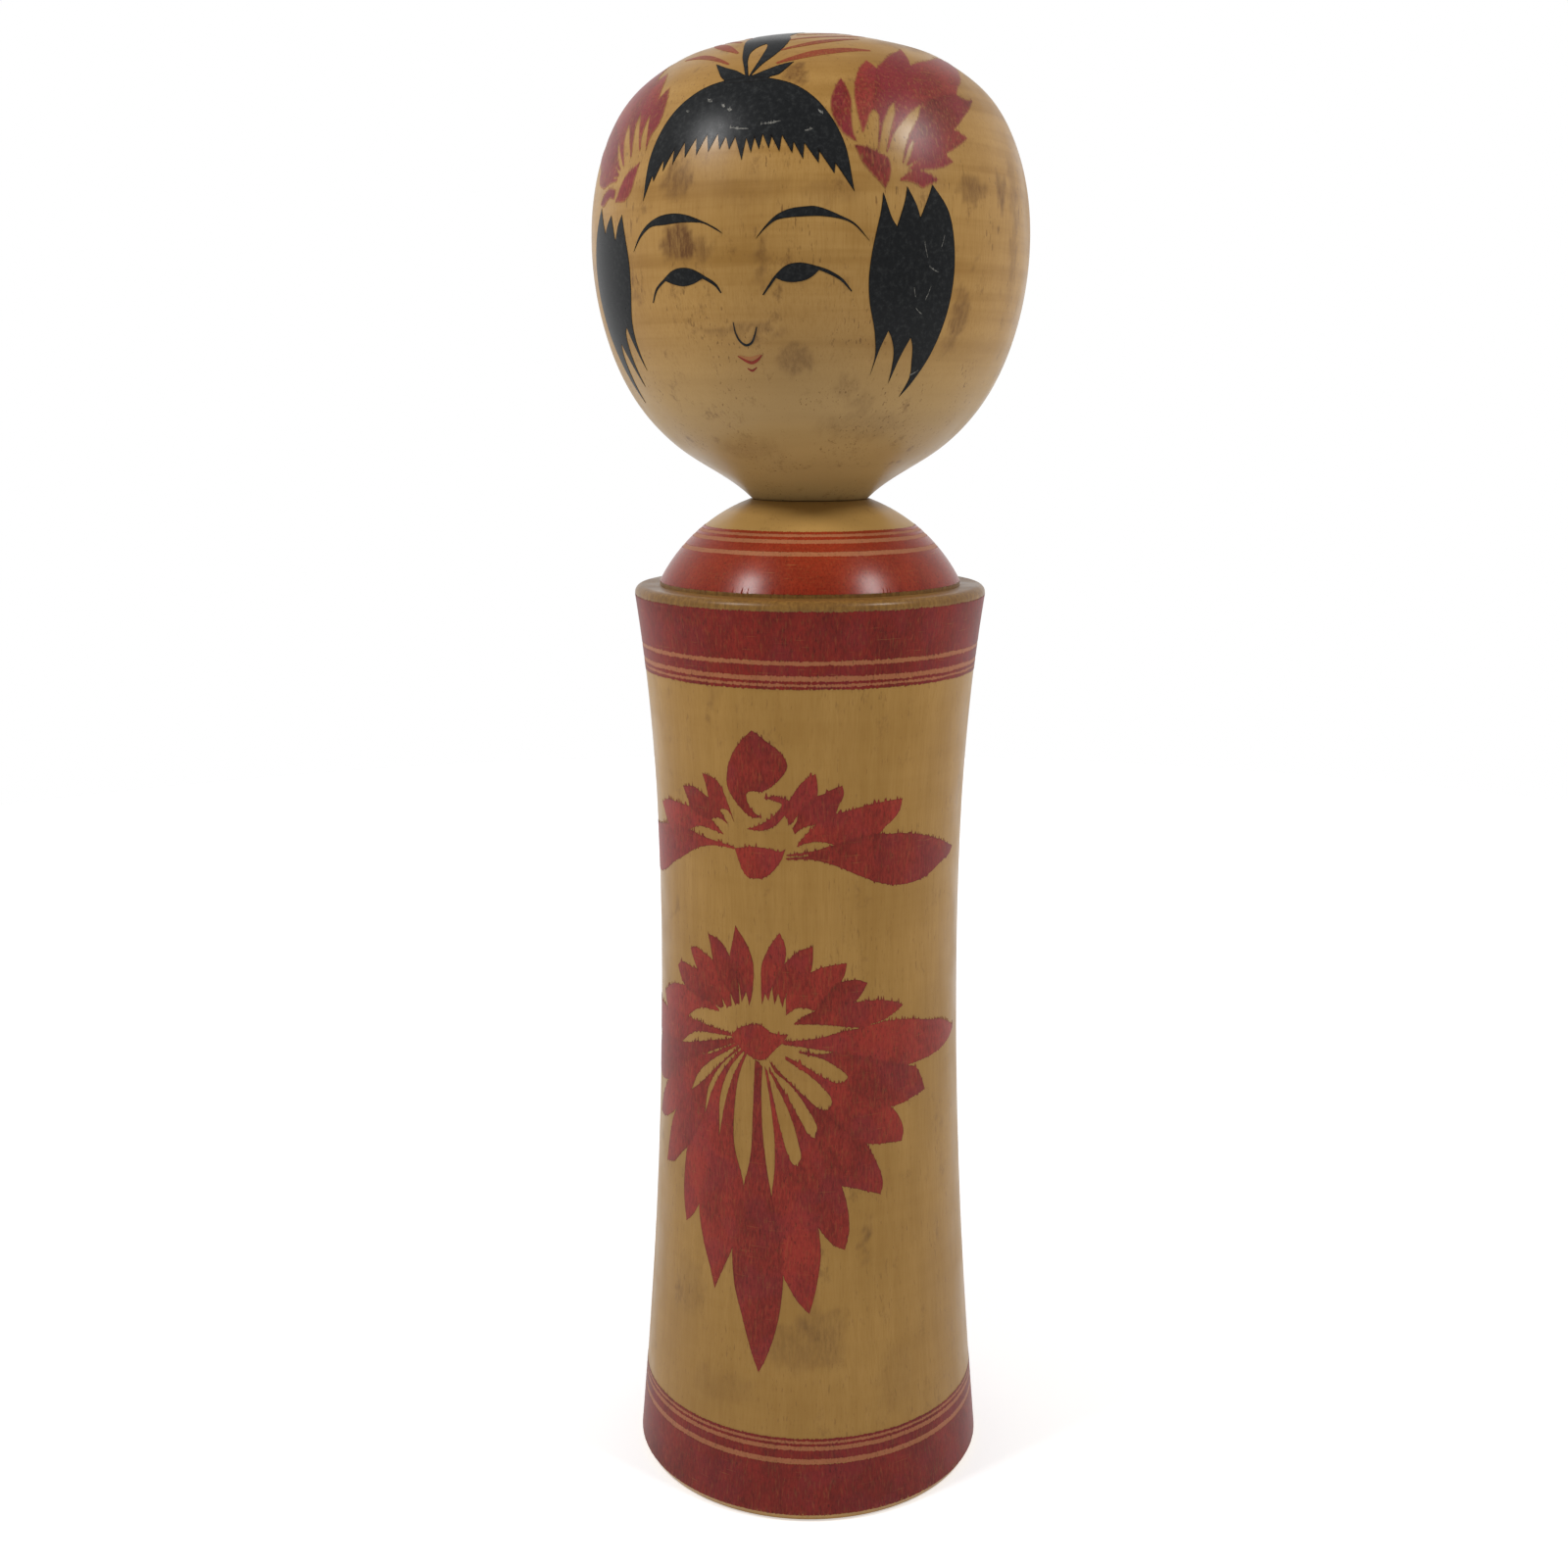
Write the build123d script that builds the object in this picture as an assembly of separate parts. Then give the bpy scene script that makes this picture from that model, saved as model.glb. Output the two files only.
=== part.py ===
"""Lathe-turned wooden doll: a waisted body block and a ball head that turns on its own peg.

Frame: millimetres, +Z up, origin at the centre of the flat base, face towards -Y.
The doll is two pieces of wood. The body carries the stepped, domed shoulder and a socket that
is wider inside than at its mouth. The head carries a peg that ends in a bead, which is pressed
through the mouth once and stays in, so the head turns but doesn't come off.
"""
import os

from build123d import *

# Overall size
TOTAL_HEIGHT = 303.0

# Body block, from the base up
BASE_RADIUS = 38.4
BASE_BEVEL = 0.9
BASE_BEVEL_HEIGHT = 1.5
CENTRE_MARK_RADIUS = 1.6
CENTRE_MARK_DEPTH = 1.2
WAIST_RADIUS = 32.3
WAIST_HEIGHT = 121.0
LOWER_FLANK_RADIUS = 35.3
LOWER_FLANK_HEIGHT = 40.4
CHEST_RADIUS = 33.4
CHEST_HEIGHT = 161.6
RIM_RADIUS = 36.7
RIM_ROUNDING = 1.6
LEDGE_HEIGHT = 195.6

# Domed shoulder, turned from the same block
DOME_RADIUS = 35.4
DOME_CENTRE_HEIGHT = 180.0
DOME_FOOT_STEP = 0.7

# Neck seat and socket
SEAT_HEIGHT = 213.1
SOCKET_MOUTH_LENGTH = 6.0
SOCKET_FLOOR_GAP = 1.5

# Head
NECK_RADIUS = 12.0
NECK_GAP = 0.1
CHEEK_RADIUS = 44.1
CHEEK_HEIGHT = 263.4
UNDERSIDE_POINTS = [(16.3, 216.7), (26.0, 222.8), (35.75, 233.0), (41.5, 245.8)]
BROW_POINTS = [(42.7, 276.5), (39.7, 284.9), (34.6, 292.1), (27.6, 297.2)]
CROWN_CAP_RADIUS = 69.0
CROWN_CAP_EDGE = 18.0

# Peg and bead
PEG_RADIUS = 8.0
BEAD_RADIUS = 8.7
PEG_LENGTH = 18.0
BEAD_TIP_ROUNDING = 2.5
RUNNING_CLEARANCE = 0.05

BEAD_SLOPE = 2 * (BEAD_RADIUS - PEG_RADIUS)


def crown_drop(radius):
    """How far the crown's shallow cap has fallen below the top at a radius."""
    return CROWN_CAP_RADIUS - (CROWN_CAP_RADIUS**2 - radius**2) ** 0.5


def dome_radius_at(height):
    """Radius of the shoulder's spherical cap at a height."""
    rise = height - DOME_CENTRE_HEIGHT
    return (DOME_RADIUS**2 - rise**2) ** 0.5


def turned(outline_line, name):
    """Revolve a closed outline, drawn as (radius, height), about the vertical axis."""
    with BuildPart() as block:
        with BuildSketch(Plane.XZ):
            add(outline_line)
            make_face()
        revolve(axis=Axis.Z)
    block.part.label = name
    return block.part


def body_outline():
    """Closed outline of the body block, socket included."""
    mouth_radius = PEG_RADIUS + RUNNING_CLEARANCE
    cavity_radius = BEAD_RADIUS + RUNNING_CLEARANCE
    mouth_bottom = SEAT_HEIGHT - SOCKET_MOUTH_LENGTH
    socket_floor = SEAT_HEIGHT - PEG_LENGTH - SOCKET_FLOOR_GAP
    dome_foot = LEDGE_HEIGHT + DOME_FOOT_STEP
    dome_foot_radius = dome_radius_at(dome_foot)
    rim_start = RIM_RADIUS - RIM_ROUNDING
    rim_centre = LEDGE_HEIGHT - RIM_ROUNDING
    with BuildLine() as outline:
        Polyline(
            (0, socket_floor),
            (cavity_radius, socket_floor),
            (cavity_radius, mouth_bottom - BEAD_SLOPE),
            (mouth_radius, mouth_bottom),
            (mouth_radius, SEAT_HEIGHT),
            (dome_radius_at(SEAT_HEIGHT), SEAT_HEIGHT),
        )
        RadiusArc(
            (dome_radius_at(SEAT_HEIGHT), SEAT_HEIGHT),
            (dome_foot_radius, dome_foot),
            DOME_RADIUS,
        )
        Polyline((dome_foot_radius, dome_foot), (dome_foot_radius, LEDGE_HEIGHT), (rim_start, LEDGE_HEIGHT))
        RadiusArc((rim_start, LEDGE_HEIGHT), (RIM_RADIUS, rim_centre), RIM_ROUNDING)
        Spline(
            (RIM_RADIUS, rim_centre),
            (CHEST_RADIUS, CHEST_HEIGHT),
            (WAIST_RADIUS, WAIST_HEIGHT),
            (LOWER_FLANK_RADIUS, LOWER_FLANK_HEIGHT),
            (BASE_RADIUS, BASE_BEVEL_HEIGHT),
        )
        Polyline(
            (BASE_RADIUS, BASE_BEVEL_HEIGHT),
            (BASE_RADIUS - BASE_BEVEL, 0),
            (CENTRE_MARK_RADIUS, 0),
            (0, CENTRE_MARK_DEPTH),
            (0, socket_floor),
        )
    return outline.line


def head_outline():
    """Closed outline of the head, peg and bead included."""
    neck_height = SEAT_HEIGHT + NECK_GAP
    bead_top = SEAT_HEIGHT - SOCKET_MOUTH_LENGTH - BEAD_SLOPE
    peg_tip = SEAT_HEIGHT - PEG_LENGTH
    cap_edge = (CROWN_CAP_EDGE, TOTAL_HEIGHT - crown_drop(CROWN_CAP_EDGE))
    cap_slope = (-(CROWN_CAP_RADIUS - crown_drop(CROWN_CAP_EDGE)), CROWN_CAP_EDGE)
    with BuildLine() as outline:
        Spline(
            (NECK_RADIUS, neck_height),
            *UNDERSIDE_POINTS,
            (CHEEK_RADIUS, CHEEK_HEIGHT),
            *BROW_POINTS,
            cap_edge,
            tangents=[(1, 1), cap_slope],
        )
        RadiusArc(cap_edge, (0, TOTAL_HEIGHT), -CROWN_CAP_RADIUS)
        Polyline(
            (0, TOTAL_HEIGHT),
            (0, peg_tip),
            (BEAD_RADIUS - BEAD_TIP_ROUNDING, peg_tip),
        )
        RadiusArc(
            (BEAD_RADIUS - BEAD_TIP_ROUNDING, peg_tip),
            (BEAD_RADIUS, peg_tip + BEAD_TIP_ROUNDING),
            -BEAD_TIP_ROUNDING,
        )
        Polyline(
            (BEAD_RADIUS, peg_tip + BEAD_TIP_ROUNDING),
            (BEAD_RADIUS, bead_top - BEAD_SLOPE),
            (PEG_RADIUS, bead_top),
            (PEG_RADIUS, neck_height),
            (NECK_RADIUS, neck_height),
        )
    return outline.line


pieces = {
    "body": turned(body_outline(), "body"),
    "head": turned(head_outline(), "head"),
}

os.makedirs("parts", exist_ok=True)
for node, solid in pieces.items():
    export_step(solid, f"parts/{node}.step")
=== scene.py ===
"""The looks of a turned wooden kokeshi doll: aged, waxed wood with red dye and black ink brushed onto it.

Lengths are in millimetres until a mesh is made, and then in metres. The face looks along -Y, and right and
left in names are the viewer's. Paint is drawn on the surface in three flat charts:
  body chart:  u = mm round from the front, at BODY_CHART_RADIUS; v = height.
  head chart:  u = degrees round from the front; v = mm from the crown's centre along the surface.
  crown chart: the head seen from above; u = X, v = Y, with their length taken along the surface.
"""

import math

import bpy
import numpy as np
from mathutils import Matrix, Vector, noise
from mathutils.geometry import delaunay_2d_cdt


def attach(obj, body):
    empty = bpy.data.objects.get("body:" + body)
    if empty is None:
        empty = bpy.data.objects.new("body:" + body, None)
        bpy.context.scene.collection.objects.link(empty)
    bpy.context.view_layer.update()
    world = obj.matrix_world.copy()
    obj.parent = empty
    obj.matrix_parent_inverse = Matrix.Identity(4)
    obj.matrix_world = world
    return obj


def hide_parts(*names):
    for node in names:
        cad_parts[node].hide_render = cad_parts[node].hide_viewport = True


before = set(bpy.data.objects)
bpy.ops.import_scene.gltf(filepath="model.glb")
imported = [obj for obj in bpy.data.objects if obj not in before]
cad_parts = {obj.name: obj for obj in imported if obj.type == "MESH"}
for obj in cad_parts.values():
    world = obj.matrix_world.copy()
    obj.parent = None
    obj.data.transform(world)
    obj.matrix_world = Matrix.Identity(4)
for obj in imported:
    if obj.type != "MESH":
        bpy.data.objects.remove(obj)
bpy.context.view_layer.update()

MM = 0.001
TURNED_SEGMENTS = 288
BAND_SEGMENTS = 1300
BAND_ROW = 1.2
FINE_EDGE = 170.0  # how finely the noise on a band's edge goes round the body
WIDE_EDGE = 6.0
PROFILE_STEP = 1.2
PROFILE_BEND = 4.0  # degrees that the outline may turn between two rings
PROFILE_SAMPLES = 24
OUTSIDE = 0.02  # the least outward part of a normal on a piece's outside
CURVED = 0.8  # how well a curve's ends agree with its chord, as a cosine: below this it is straight
BODY_CHART_RADIUS = 33.0
FACE_MM_PER_DEGREE = 0.765  # at the eyes' height
HAIR_MM_PER_DEGREE = 0.75  # about, on the fringe and the side locks

# How high the paint stands on the wood. A coat's underside lies inside the wood.
PAINT_BELOW = 0.04
BLUSH_LIFT = 0.025
FLUSH_LIFT = 0.035
DYE_LIFT = 0.05
INK_LIFT = 0.07
SCUFF_LIFT = 0.09

# Distances between an outline's points, and between the points inside it
CURVE_STEP = 0.25
THIN_STEP = 0.15
BODY_DYE_STEP = 0.14  # fine enough for the wisps that dye bleeds into
HEAD_DYE_STEP = 0.182
FILL_STEP = 1.3
OVERLAP = 0.45  # how far a petal's hidden edge runs under its neighbour, at most

# Dye bleeding into wisps along the grain, with a ripple over them
WISP_WIDTH = 0.24
WISP_LENGTH = 5.0
WISP_REACH = 3.2
WISP_GATE = 0.05  # only noise above this makes a wisp
RIPPLE_SIZE = 0.7
RIPPLE_UP = 0.3
RIPPLE_ACROSS = 0.05
BODY_BLEED = 0.55
HEAD_BLEED = 0.35
SCUFF_BLEED = 0.3
BLEED_DOWN = 0.4  # the share of the bleeding that goes down

# Widths in mm of the darker or more watery edge that a coat dries with
BODY_DYE_RIM = 0.3
HEAD_DYE_RIM = 0.5
HAIR_RIM = 0.3
TOPKNOT_RIM = 0.25
FACE_RIM = 0.15


# ---------------------------------------------------------------- curves in a chart

def smooth(points, step):
    """Points about step apart on a smooth curve through the given ones, without the last. The curve is a
    centripetal spline."""
    p = np.array(points, float)
    p = np.vstack([2 * p[0] - p[1], p, 2 * p[-1] - p[-2]])
    made = []
    for i in range(1, len(p) - 2):
        knots = [0.0]
        for j in range(i - 1, i + 2):
            knots.append(knots[-1] + max(np.linalg.norm(p[j + 1] - p[j]), 1e-6) ** 0.5)
        t0, t1, t2, t3 = knots
        count = max(1, math.ceil(np.linalg.norm(p[i + 1] - p[i]) / step))
        t = np.linspace(t1, t2, count, endpoint=False)[:, None]
        a1 = (t1 - t) / (t1 - t0) * p[i - 1] + (t - t0) / (t1 - t0) * p[i]
        a2 = (t2 - t) / (t2 - t1) * p[i] + (t - t1) / (t2 - t1) * p[i + 1]
        a3 = (t3 - t) / (t3 - t2) * p[i + 1] + (t - t2) / (t3 - t2) * p[i + 2]
        b1 = (t2 - t) / (t2 - t0) * a1 + (t - t0) / (t2 - t0) * a2
        b2 = (t3 - t) / (t3 - t1) * a2 + (t - t1) / (t3 - t1) * a3
        made.append((t2 - t) / (t2 - t1) * b1 + (t - t1) / (t2 - t1) * b2)
    return np.vstack(made)


def loop(*stretches, step=CURVE_STEP):
    """A closed outline with a corner between stretches. Each starts where the one before it ends."""
    made, start = [], stretches[0][0]
    for i, stretch in enumerate(stretches):
        points = list(stretch) if i == 0 else [stretches[i - 1][-1], *stretch]
        if i == len(stretches) - 1 and tuple(points[-1]) != tuple(start):
            points.append(start)
        made.append(smooth(points, step))
    return np.vstack(made)


def brush_line(spine, widths, mm_per_u=1.0, step=CURVE_STEP):
    """The closed outline of a brushed line along the spine, with its width in mm at each spine point."""
    path = smooth([(*p, w) for p, w in zip(spine, widths)], step)
    path = np.vstack([path, [*spine[-1], widths[-1]]])
    flat = path[:, :2] * [mm_per_u, 1.0]
    along = unit(np.gradient(flat, axis=0))
    side = np.column_stack([-along[:, 1], along[:, 0]]) * path[:, 2:3] / 2
    edges = np.vstack([flat + side, (flat - side)[::-1]])
    return edges / [mm_per_u, 1.0]


def unit(rows):
    return rows / (np.linalg.norm(rows, axis=1)[:, None] + 1e-9)


def fan(petals, gaps, overlap, step=BODY_DYE_STEP):
    """The outlines of brushed petals that fan out from one middle, in order round it.

    A petal is (points up to the tip, tip, points back from the tip, points across its root).
    A gap is (edge along the petal before it, point, edge along the petal after it, valley): both edges run
    outwards from the middle to the light wedge's point, and the valley is where the two petals part again
    further out. The first and last gaps are open: only the edge that borders a petal is given.
    overlap is positive where the petals run anticlockwise in the chart."""
    outlines = []
    for i, (rising, tip, falling, root) in enumerate(petals):
        before, after = gaps[i], gaps[i + 1]
        first = [*before[2], *seam(before, -overlap), *rising, tip]
        second = [*falling, *seam(after, overlap)[::-1], *after[0][::-1]]
        outlines.append(loop(first, second, *[[p] for p in root], [first[0]], step=step))
    return outlines


def seam(gap, shift):
    """Where a petal's hidden edge runs under its neighbour, from a wedge's point to the valley, pushed over
    by shift."""
    if gap[1] is None:
        return []
    point, valley = np.array(gap[1], float), np.array(gap[3], float)
    run = valley - point
    across = np.array([-run[1], run[0]]) / (np.linalg.norm(run) + 1e-9)
    return [tuple(point), tuple((point + valley) / 2 + across * shift), tuple(valley)]


def signed_area(outline):
    u, v = np.array(outline).T
    return np.sum(u * np.roll(v, -1) - np.roll(u, -1) * v) / 2


def outward_of(outline):
    """The outward direction at each point of a closed outline."""
    along = unit(np.roll(outline, -1, 0) - np.roll(outline, 1, 0))
    return np.column_stack([along[:, 1], -along[:, 0]]) * np.sign(signed_area(outline))


def ragged(outline, chart, bleed, seed):
    """The outline with its dye drawn out along the grain, up and down, into short wisps."""
    p = np.array(outline, float)
    outward = outward_of(p)
    moved = p.copy()
    for i, (u, v) in enumerate(p):
        column = noise.noise(Vector((u / WISP_WIDTH, v / WISP_LENGTH, seed)))
        ripple = noise.noise(Vector((u / RIPPLE_SIZE, v / RIPPLE_SIZE, seed + 9.0)))
        wisp = WISP_REACH * max(0.0, column - WISP_GATE) + RIPPLE_UP * ripple
        rise = outward[i, 1] * chart.up
        reach = bleed * (1.0 if rise > 0 else BLEED_DOWN) * math.sqrt(abs(rise))
        moved[i, 1] += math.copysign(reach * wisp, outward[i, 1])
        moved[i, 0] += RIPPLE_ACROSS * ripple * outward[i, 0]
    return moved


def dyed(outlines, chart, bleed, seed):
    """Ragged outlines, each with its own wisps."""
    return [ragged(outline, chart, bleed, seed + 3.1 * k) for k, outline in enumerate(outlines)]


# ---------------------------------------------------------------- turned surfaces

class Turned:
    """A turned piece, read from its CAD node: the outline that its mesh has where y = 0 and x > 0."""

    def __init__(self, node):
        self.node = node
        self.segments = self.outline(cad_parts[node].data)
        rows = np.vstack([self.along(segment, PROFILE_SAMPLES) for segment in self.segments])
        outside = rows[rows[:, 2] > OUTSIDE]
        self.by_height = outside[np.argsort(outside[:, 1], kind="stable")]
        self.by_depth = rows[::-1]
        steps = np.hypot(np.diff(self.by_depth[:, 0]), np.diff(self.by_depth[:, 1]))
        self.depth = np.concatenate([[0.0], np.cumsum(steps)])

    @staticmethod
    def outline(mesh):
        """Segments (start, end, normal at the start, normal at the end), from the lowest end up."""
        flat = {v.index for v in mesh.vertices if abs(v.co.y) < 1e-6 and v.co.x > -1e-6}
        place = {i: tuple(round(c / MM, 4) for c in mesh.vertices[i].co.xz) for i in flat}
        normals, links = {}, {}
        for face in mesh.polygons:
            corners = [k for k in face.loop_indices if mesh.loops[k].vertex_index in flat]
            for k in corners:
                for other in corners:
                    a, b = (place[mesh.loops[x].vertex_index] for x in (k, other))
                    if a != b:
                        normals[a, b] = mesh.corner_normals[k].vector.xz
                        links.setdefault(a, set()).add(b)
        chain = [min((p for p in links if len(links[p]) == 1), key=lambda p: p[1])]
        while links[chain[-1]] - set(chain[-2:]):
            chain.append((links[chain[-1]] - set(chain[-2:])).pop())
        made = [(a, b, normals[a, b], normals[b, a]) for a, b in zip(chain, chain[1:])]
        if chain[0][0] > 0:
            made.insert(0, ((0.0, chain[0][1]), chain[0], Vector((0, -1)), Vector((0, -1))))
        if chain[-1][0] > 0:
            made.append((chain[-1], (0.0, chain[-1][1]), Vector((0, 1)), Vector((0, 1))))
        return made

    @staticmethod
    def along(segment, count):
        """Rows (radius, height, normal's radius, normal's height) on the smooth curve of a segment."""
        (a, b, na, nb) = segment
        a, b = np.array(a, float), np.array(b, float)
        chord = b - a
        length = np.linalg.norm(chord)
        ta, tb = (np.array([-n[1], n[0]], float) / (math.hypot(*n) + 1e-9) for n in (na, nb))
        if min(ta @ chord, tb @ chord) < CURVED * length:
            ta = tb = chord / length
        t = np.linspace(0, 1, count + 1)[:, None]
        curve = (
            (2 * t**3 - 3 * t**2 + 1) * a
            + (t**3 - 2 * t**2 + t) * ta * length
            + (3 * t**2 - 2 * t**3) * b
            + (t**3 - t**2) * tb * length
        )
        tangent = (1 - t) * ta + t * tb
        tangent /= np.linalg.norm(tangent, axis=1)[:, None]
        return np.column_stack([curve, tangent[:, 1], -tangent[:, 0]])

    def at_height(self, height):
        """Radius, height and normal of the outside at these heights."""
        rows = self.by_height
        return [np.interp(height, rows[:, 1], rows[:, k]) for k in range(4)]

    def at_depth(self, depth):
        """Radius, height and normal at these distances along the surface from the top's centre."""
        return [np.interp(depth, self.depth, self.by_depth[:, k]) for k in range(4)]

    def depth_of(self, heights):
        """How far along the surface from the top's centre these heights are."""
        return np.interp(-heights, -self.by_depth[:, 1], self.depth)

    def build(self, name):
        """The whole closed piece as a mesh with its exact normals."""
        rings, faces_of = [], []
        for segment in self.segments:
            (a, b, na, nb) = segment
            bend = math.degrees(math.acos(max(-1.0, min(1.0, na.normalized() @ nb.normalized()))))
            count = max(1, math.ceil(math.dist(a, b) / PROFILE_STEP), math.ceil(bend / PROFILE_BEND))
            rows = self.along(segment, count)
            if not rings:
                rings.append(rows[0, :2])
            for k in range(count):
                rings.append(rows[k + 1, :2])
                faces_of.append((len(rings) - 2, rows[k, 2:], rows[k + 1, 2:]))
        turns = np.linspace(0, 2 * math.pi, TURNED_SEGMENTS, endpoint=False)
        verts, starts = [], []
        for radius, height in rings:
            starts.append(len(verts))
            single = radius < 1e-6
            verts += [around(t, radius * MM, height * MM) for t in (turns[:1] if single else turns)]
        lengths = np.concatenate([[0], np.cumsum([math.dist(p, q) for p, q in zip(rings, rings[1:])])])
        faces, loop_normals, uvs = [], [], []
        for ring, low, high in faces_of:
            near = (ring, low, lengths[ring] / lengths[-1])
            far = (ring + 1, high, lengths[ring + 1] / lengths[-1])
            for k in range(TURNED_SEGMENTS):
                face = []
                for (index, normal, v), turn in ((near, k), (near, k + 1), (far, k + 1), (far, k)):
                    single = rings[index][0] < 1e-6
                    vertex = starts[index] + (0 if single else turn % TURNED_SEGMENTS)
                    if single and vertex in face:
                        continue
                    face.append(vertex)
                    loop_normals.append(around(2 * math.pi * turn / TURNED_SEGMENTS, *normal))
                    uvs.append((turn / TURNED_SEGMENTS, v))
                faces.append(face)
        return make_mesh(name, verts, faces, loop_normals, uvs)


def around(turn, radius, height):
    """The place at this radius and height, turned round from the front by an angle in radians."""
    return radius * math.sin(turn), -radius * math.cos(turn), height


def make_mesh(name, verts, faces, loop_normals, uvs):
    mesh = bpy.data.meshes.new(name)
    mesh.from_pydata(verts, [], faces)
    layer = mesh.uv_layers.new(name="OFBake")
    layer.data.foreach_set("uv", np.array(uvs, np.float32).ravel())
    mesh.polygons.foreach_set("use_smooth", [True] * len(mesh.polygons))
    mesh.normals_split_custom_set([Vector(n).normalized() for n in loop_normals])
    piece = bpy.data.objects.new(name, mesh)
    bpy.context.scene.collection.objects.link(piece)
    return piece


def give(piece, name, values):
    """Writes one number per vertex, which the materials read."""
    attribute = piece.data.attributes.new(name, "FLOAT", "POINT")
    attribute.data.foreach_set("value", np.array(values, np.float32))


body = Turned("body")
head = Turned("head")


# ---------------------------------------------------------------- charts

class Chart:
    """Where a chart's points lie on the doll. up is 1 where v grows upwards, and home gives the points'
    places in the chart that the stains are listed in."""

    def __init__(self, surface, up, angle, row, home):
        self.surface, self.up, self.angle, self.row, self.home = surface, up, angle, row, home

    def place(self, uv, lift):
        """The points on the doll in metres, lift mm off the wood, and the surface's normals there."""
        radius, height, out, rise = self.row(uv)
        turn = self.angle(uv)
        normal = np.column_stack([out * np.sin(turn), -out * np.cos(turn), rise])
        point = np.column_stack([radius * np.sin(turn), -radius * np.cos(turn), height])
        return (point + normal * lift) * MM, normal


def from_above(uv):
    """Head chart places of crown chart places."""
    return np.column_stack([np.degrees(np.arctan2(uv[:, 0], -uv[:, 1])), np.hypot(uv[:, 0], uv[:, 1])])


BODY_CHART = Chart(
    body,
    up=1,
    angle=lambda uv: uv[:, 0] / BODY_CHART_RADIUS,
    row=lambda uv: body.at_height(uv[:, 1]),
    home=lambda uv: uv,
)
HEAD_CHART = Chart(
    head,
    up=-1,
    angle=lambda uv: np.radians(uv[:, 0]),
    row=lambda uv: head.at_depth(uv[:, 1]),
    home=lambda uv: uv,
)
CROWN_CHART = Chart(
    head,
    up=1,
    angle=lambda uv: np.arctan2(uv[:, 0], -uv[:, 1]),
    row=lambda uv: head.at_depth(np.hypot(uv[:, 0], uv[:, 1])),
    home=from_above,
)


# ---------------------------------------------------------------- wear, and painted shade

# Old stains, and painted shade, as (u, v, half width, half height, strength), in the head chart or the body
# chart.
STAINS_AND_SHADE = {
    "head": [
        (-16, 70.2, 4.2, 3.2, 1.3),
        (-10, 71.5, 3.0, 2.0, 0.7),
        (-16, 59.2, 4.5, 2.4, 0.85),
        (13, 39.5, 3.5, 2.4, 0.9),
        (6, 73.5, 1.0, 4.5, 0.7),
        (0, 86.3, 10.5, 1.0, 0.6),
        (14, 91.8, 4.6, 2.6, 0.65),
        (-31, 79.8, 2.2, 1.6, 0.6),
        (61, 60.2, 4.5, 2.4, 0.75),
        (73, 60, 2.2, 3.2, 0.9),
        (80, 66, 2, 12, 0.5),
        (59, 83, 2.4, 4.2, 0.85),
        (57.5, 88, 2.4, 2, 0.4),
        (62, 73.5, 0.9, 1.8, 0.55),
        # Two wide low bands on the lower head, towards the neck: painted shade there, as well as stain.
        (36, 106, 16, 2.6, 0.3),
        (-8, 112.5, 14, 2.8, 0.3),
        (28, 97, 3, 2.0, 0.4),
        (33, 101, 4, 1.5, 0.35),
        (64, 25.5, 16, 2.5, 0.6),
        (95, 28, 12, 4, 0.5),
        (3, 61, 8, 3, 0.2),
        (22, 62, 6, 2.5, 0.3),
        (-21.5, 36.3, 1.4, 0.9, 0.5),
    ],
    "body": [
        (22, 63, 1.0, 2.4, 0.7),
        (22.5, 57.5, 0.7, 1.0, 0.5),
        (9, 39, 7.5, 5.5, 0.45),
        (13, 44, 4.5, 3.5, 0.35),
        (-17, 47, 4, 6, 0.25),
        (-8, 27, 6, 3.5, 0.2),
        (-24, 130, 0.9, 1.6, 0.5),
        (-9, 176, 1.2, 2.2, 0.25),
        (28, 30, 4, 7, 0.2),
        (0, 195.2, 240, 2.6, 0.95),
    ],
}
STAIN_WANDER = 2.2
STAIN_WANDER_SIZE = 2.6
STAIN_REACH = 1.35  # where a stain ends, in half widths
STAIN_FADE = 0.6
STAIN_LIMIT = 1.2


def wander(u, v, seed):
    """A smooth shift in two directions that is the same in every run."""
    return np.array([noise.noise(Vector((u, v, seed))), noise.noise(Vector((u, v, seed + 50.0)))])


def stain_and_shade(home, node):
    """How stained and shaded a node's wood is at each place: blotchy spots, added up. The head's wide bands
    near the neck are painted shade.
    """
    size = STAIN_WANDER_SIZE
    warp = [wander(u / size, v / size, 4.4) + 0.4 * wander(u, v, 1.1) for u, v in home]
    home = home + np.array(warp) * STAIN_WANDER
    total = np.zeros(len(home))
    for u, v, half_width, half_height, strength in STAINS_AND_SHADE[node]:
        reach = np.hypot((home[:, 0] - u) / half_width, (home[:, 1] - v) / half_height)
        t = np.clip((STAIN_REACH - reach) / STAIN_FADE, 0, 1)
        total += strength * t * t * (3 - 2 * t)
    return np.clip(total, 0, STAIN_LIMIT)


# ---------------------------------------------------------------- coats of paint

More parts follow.
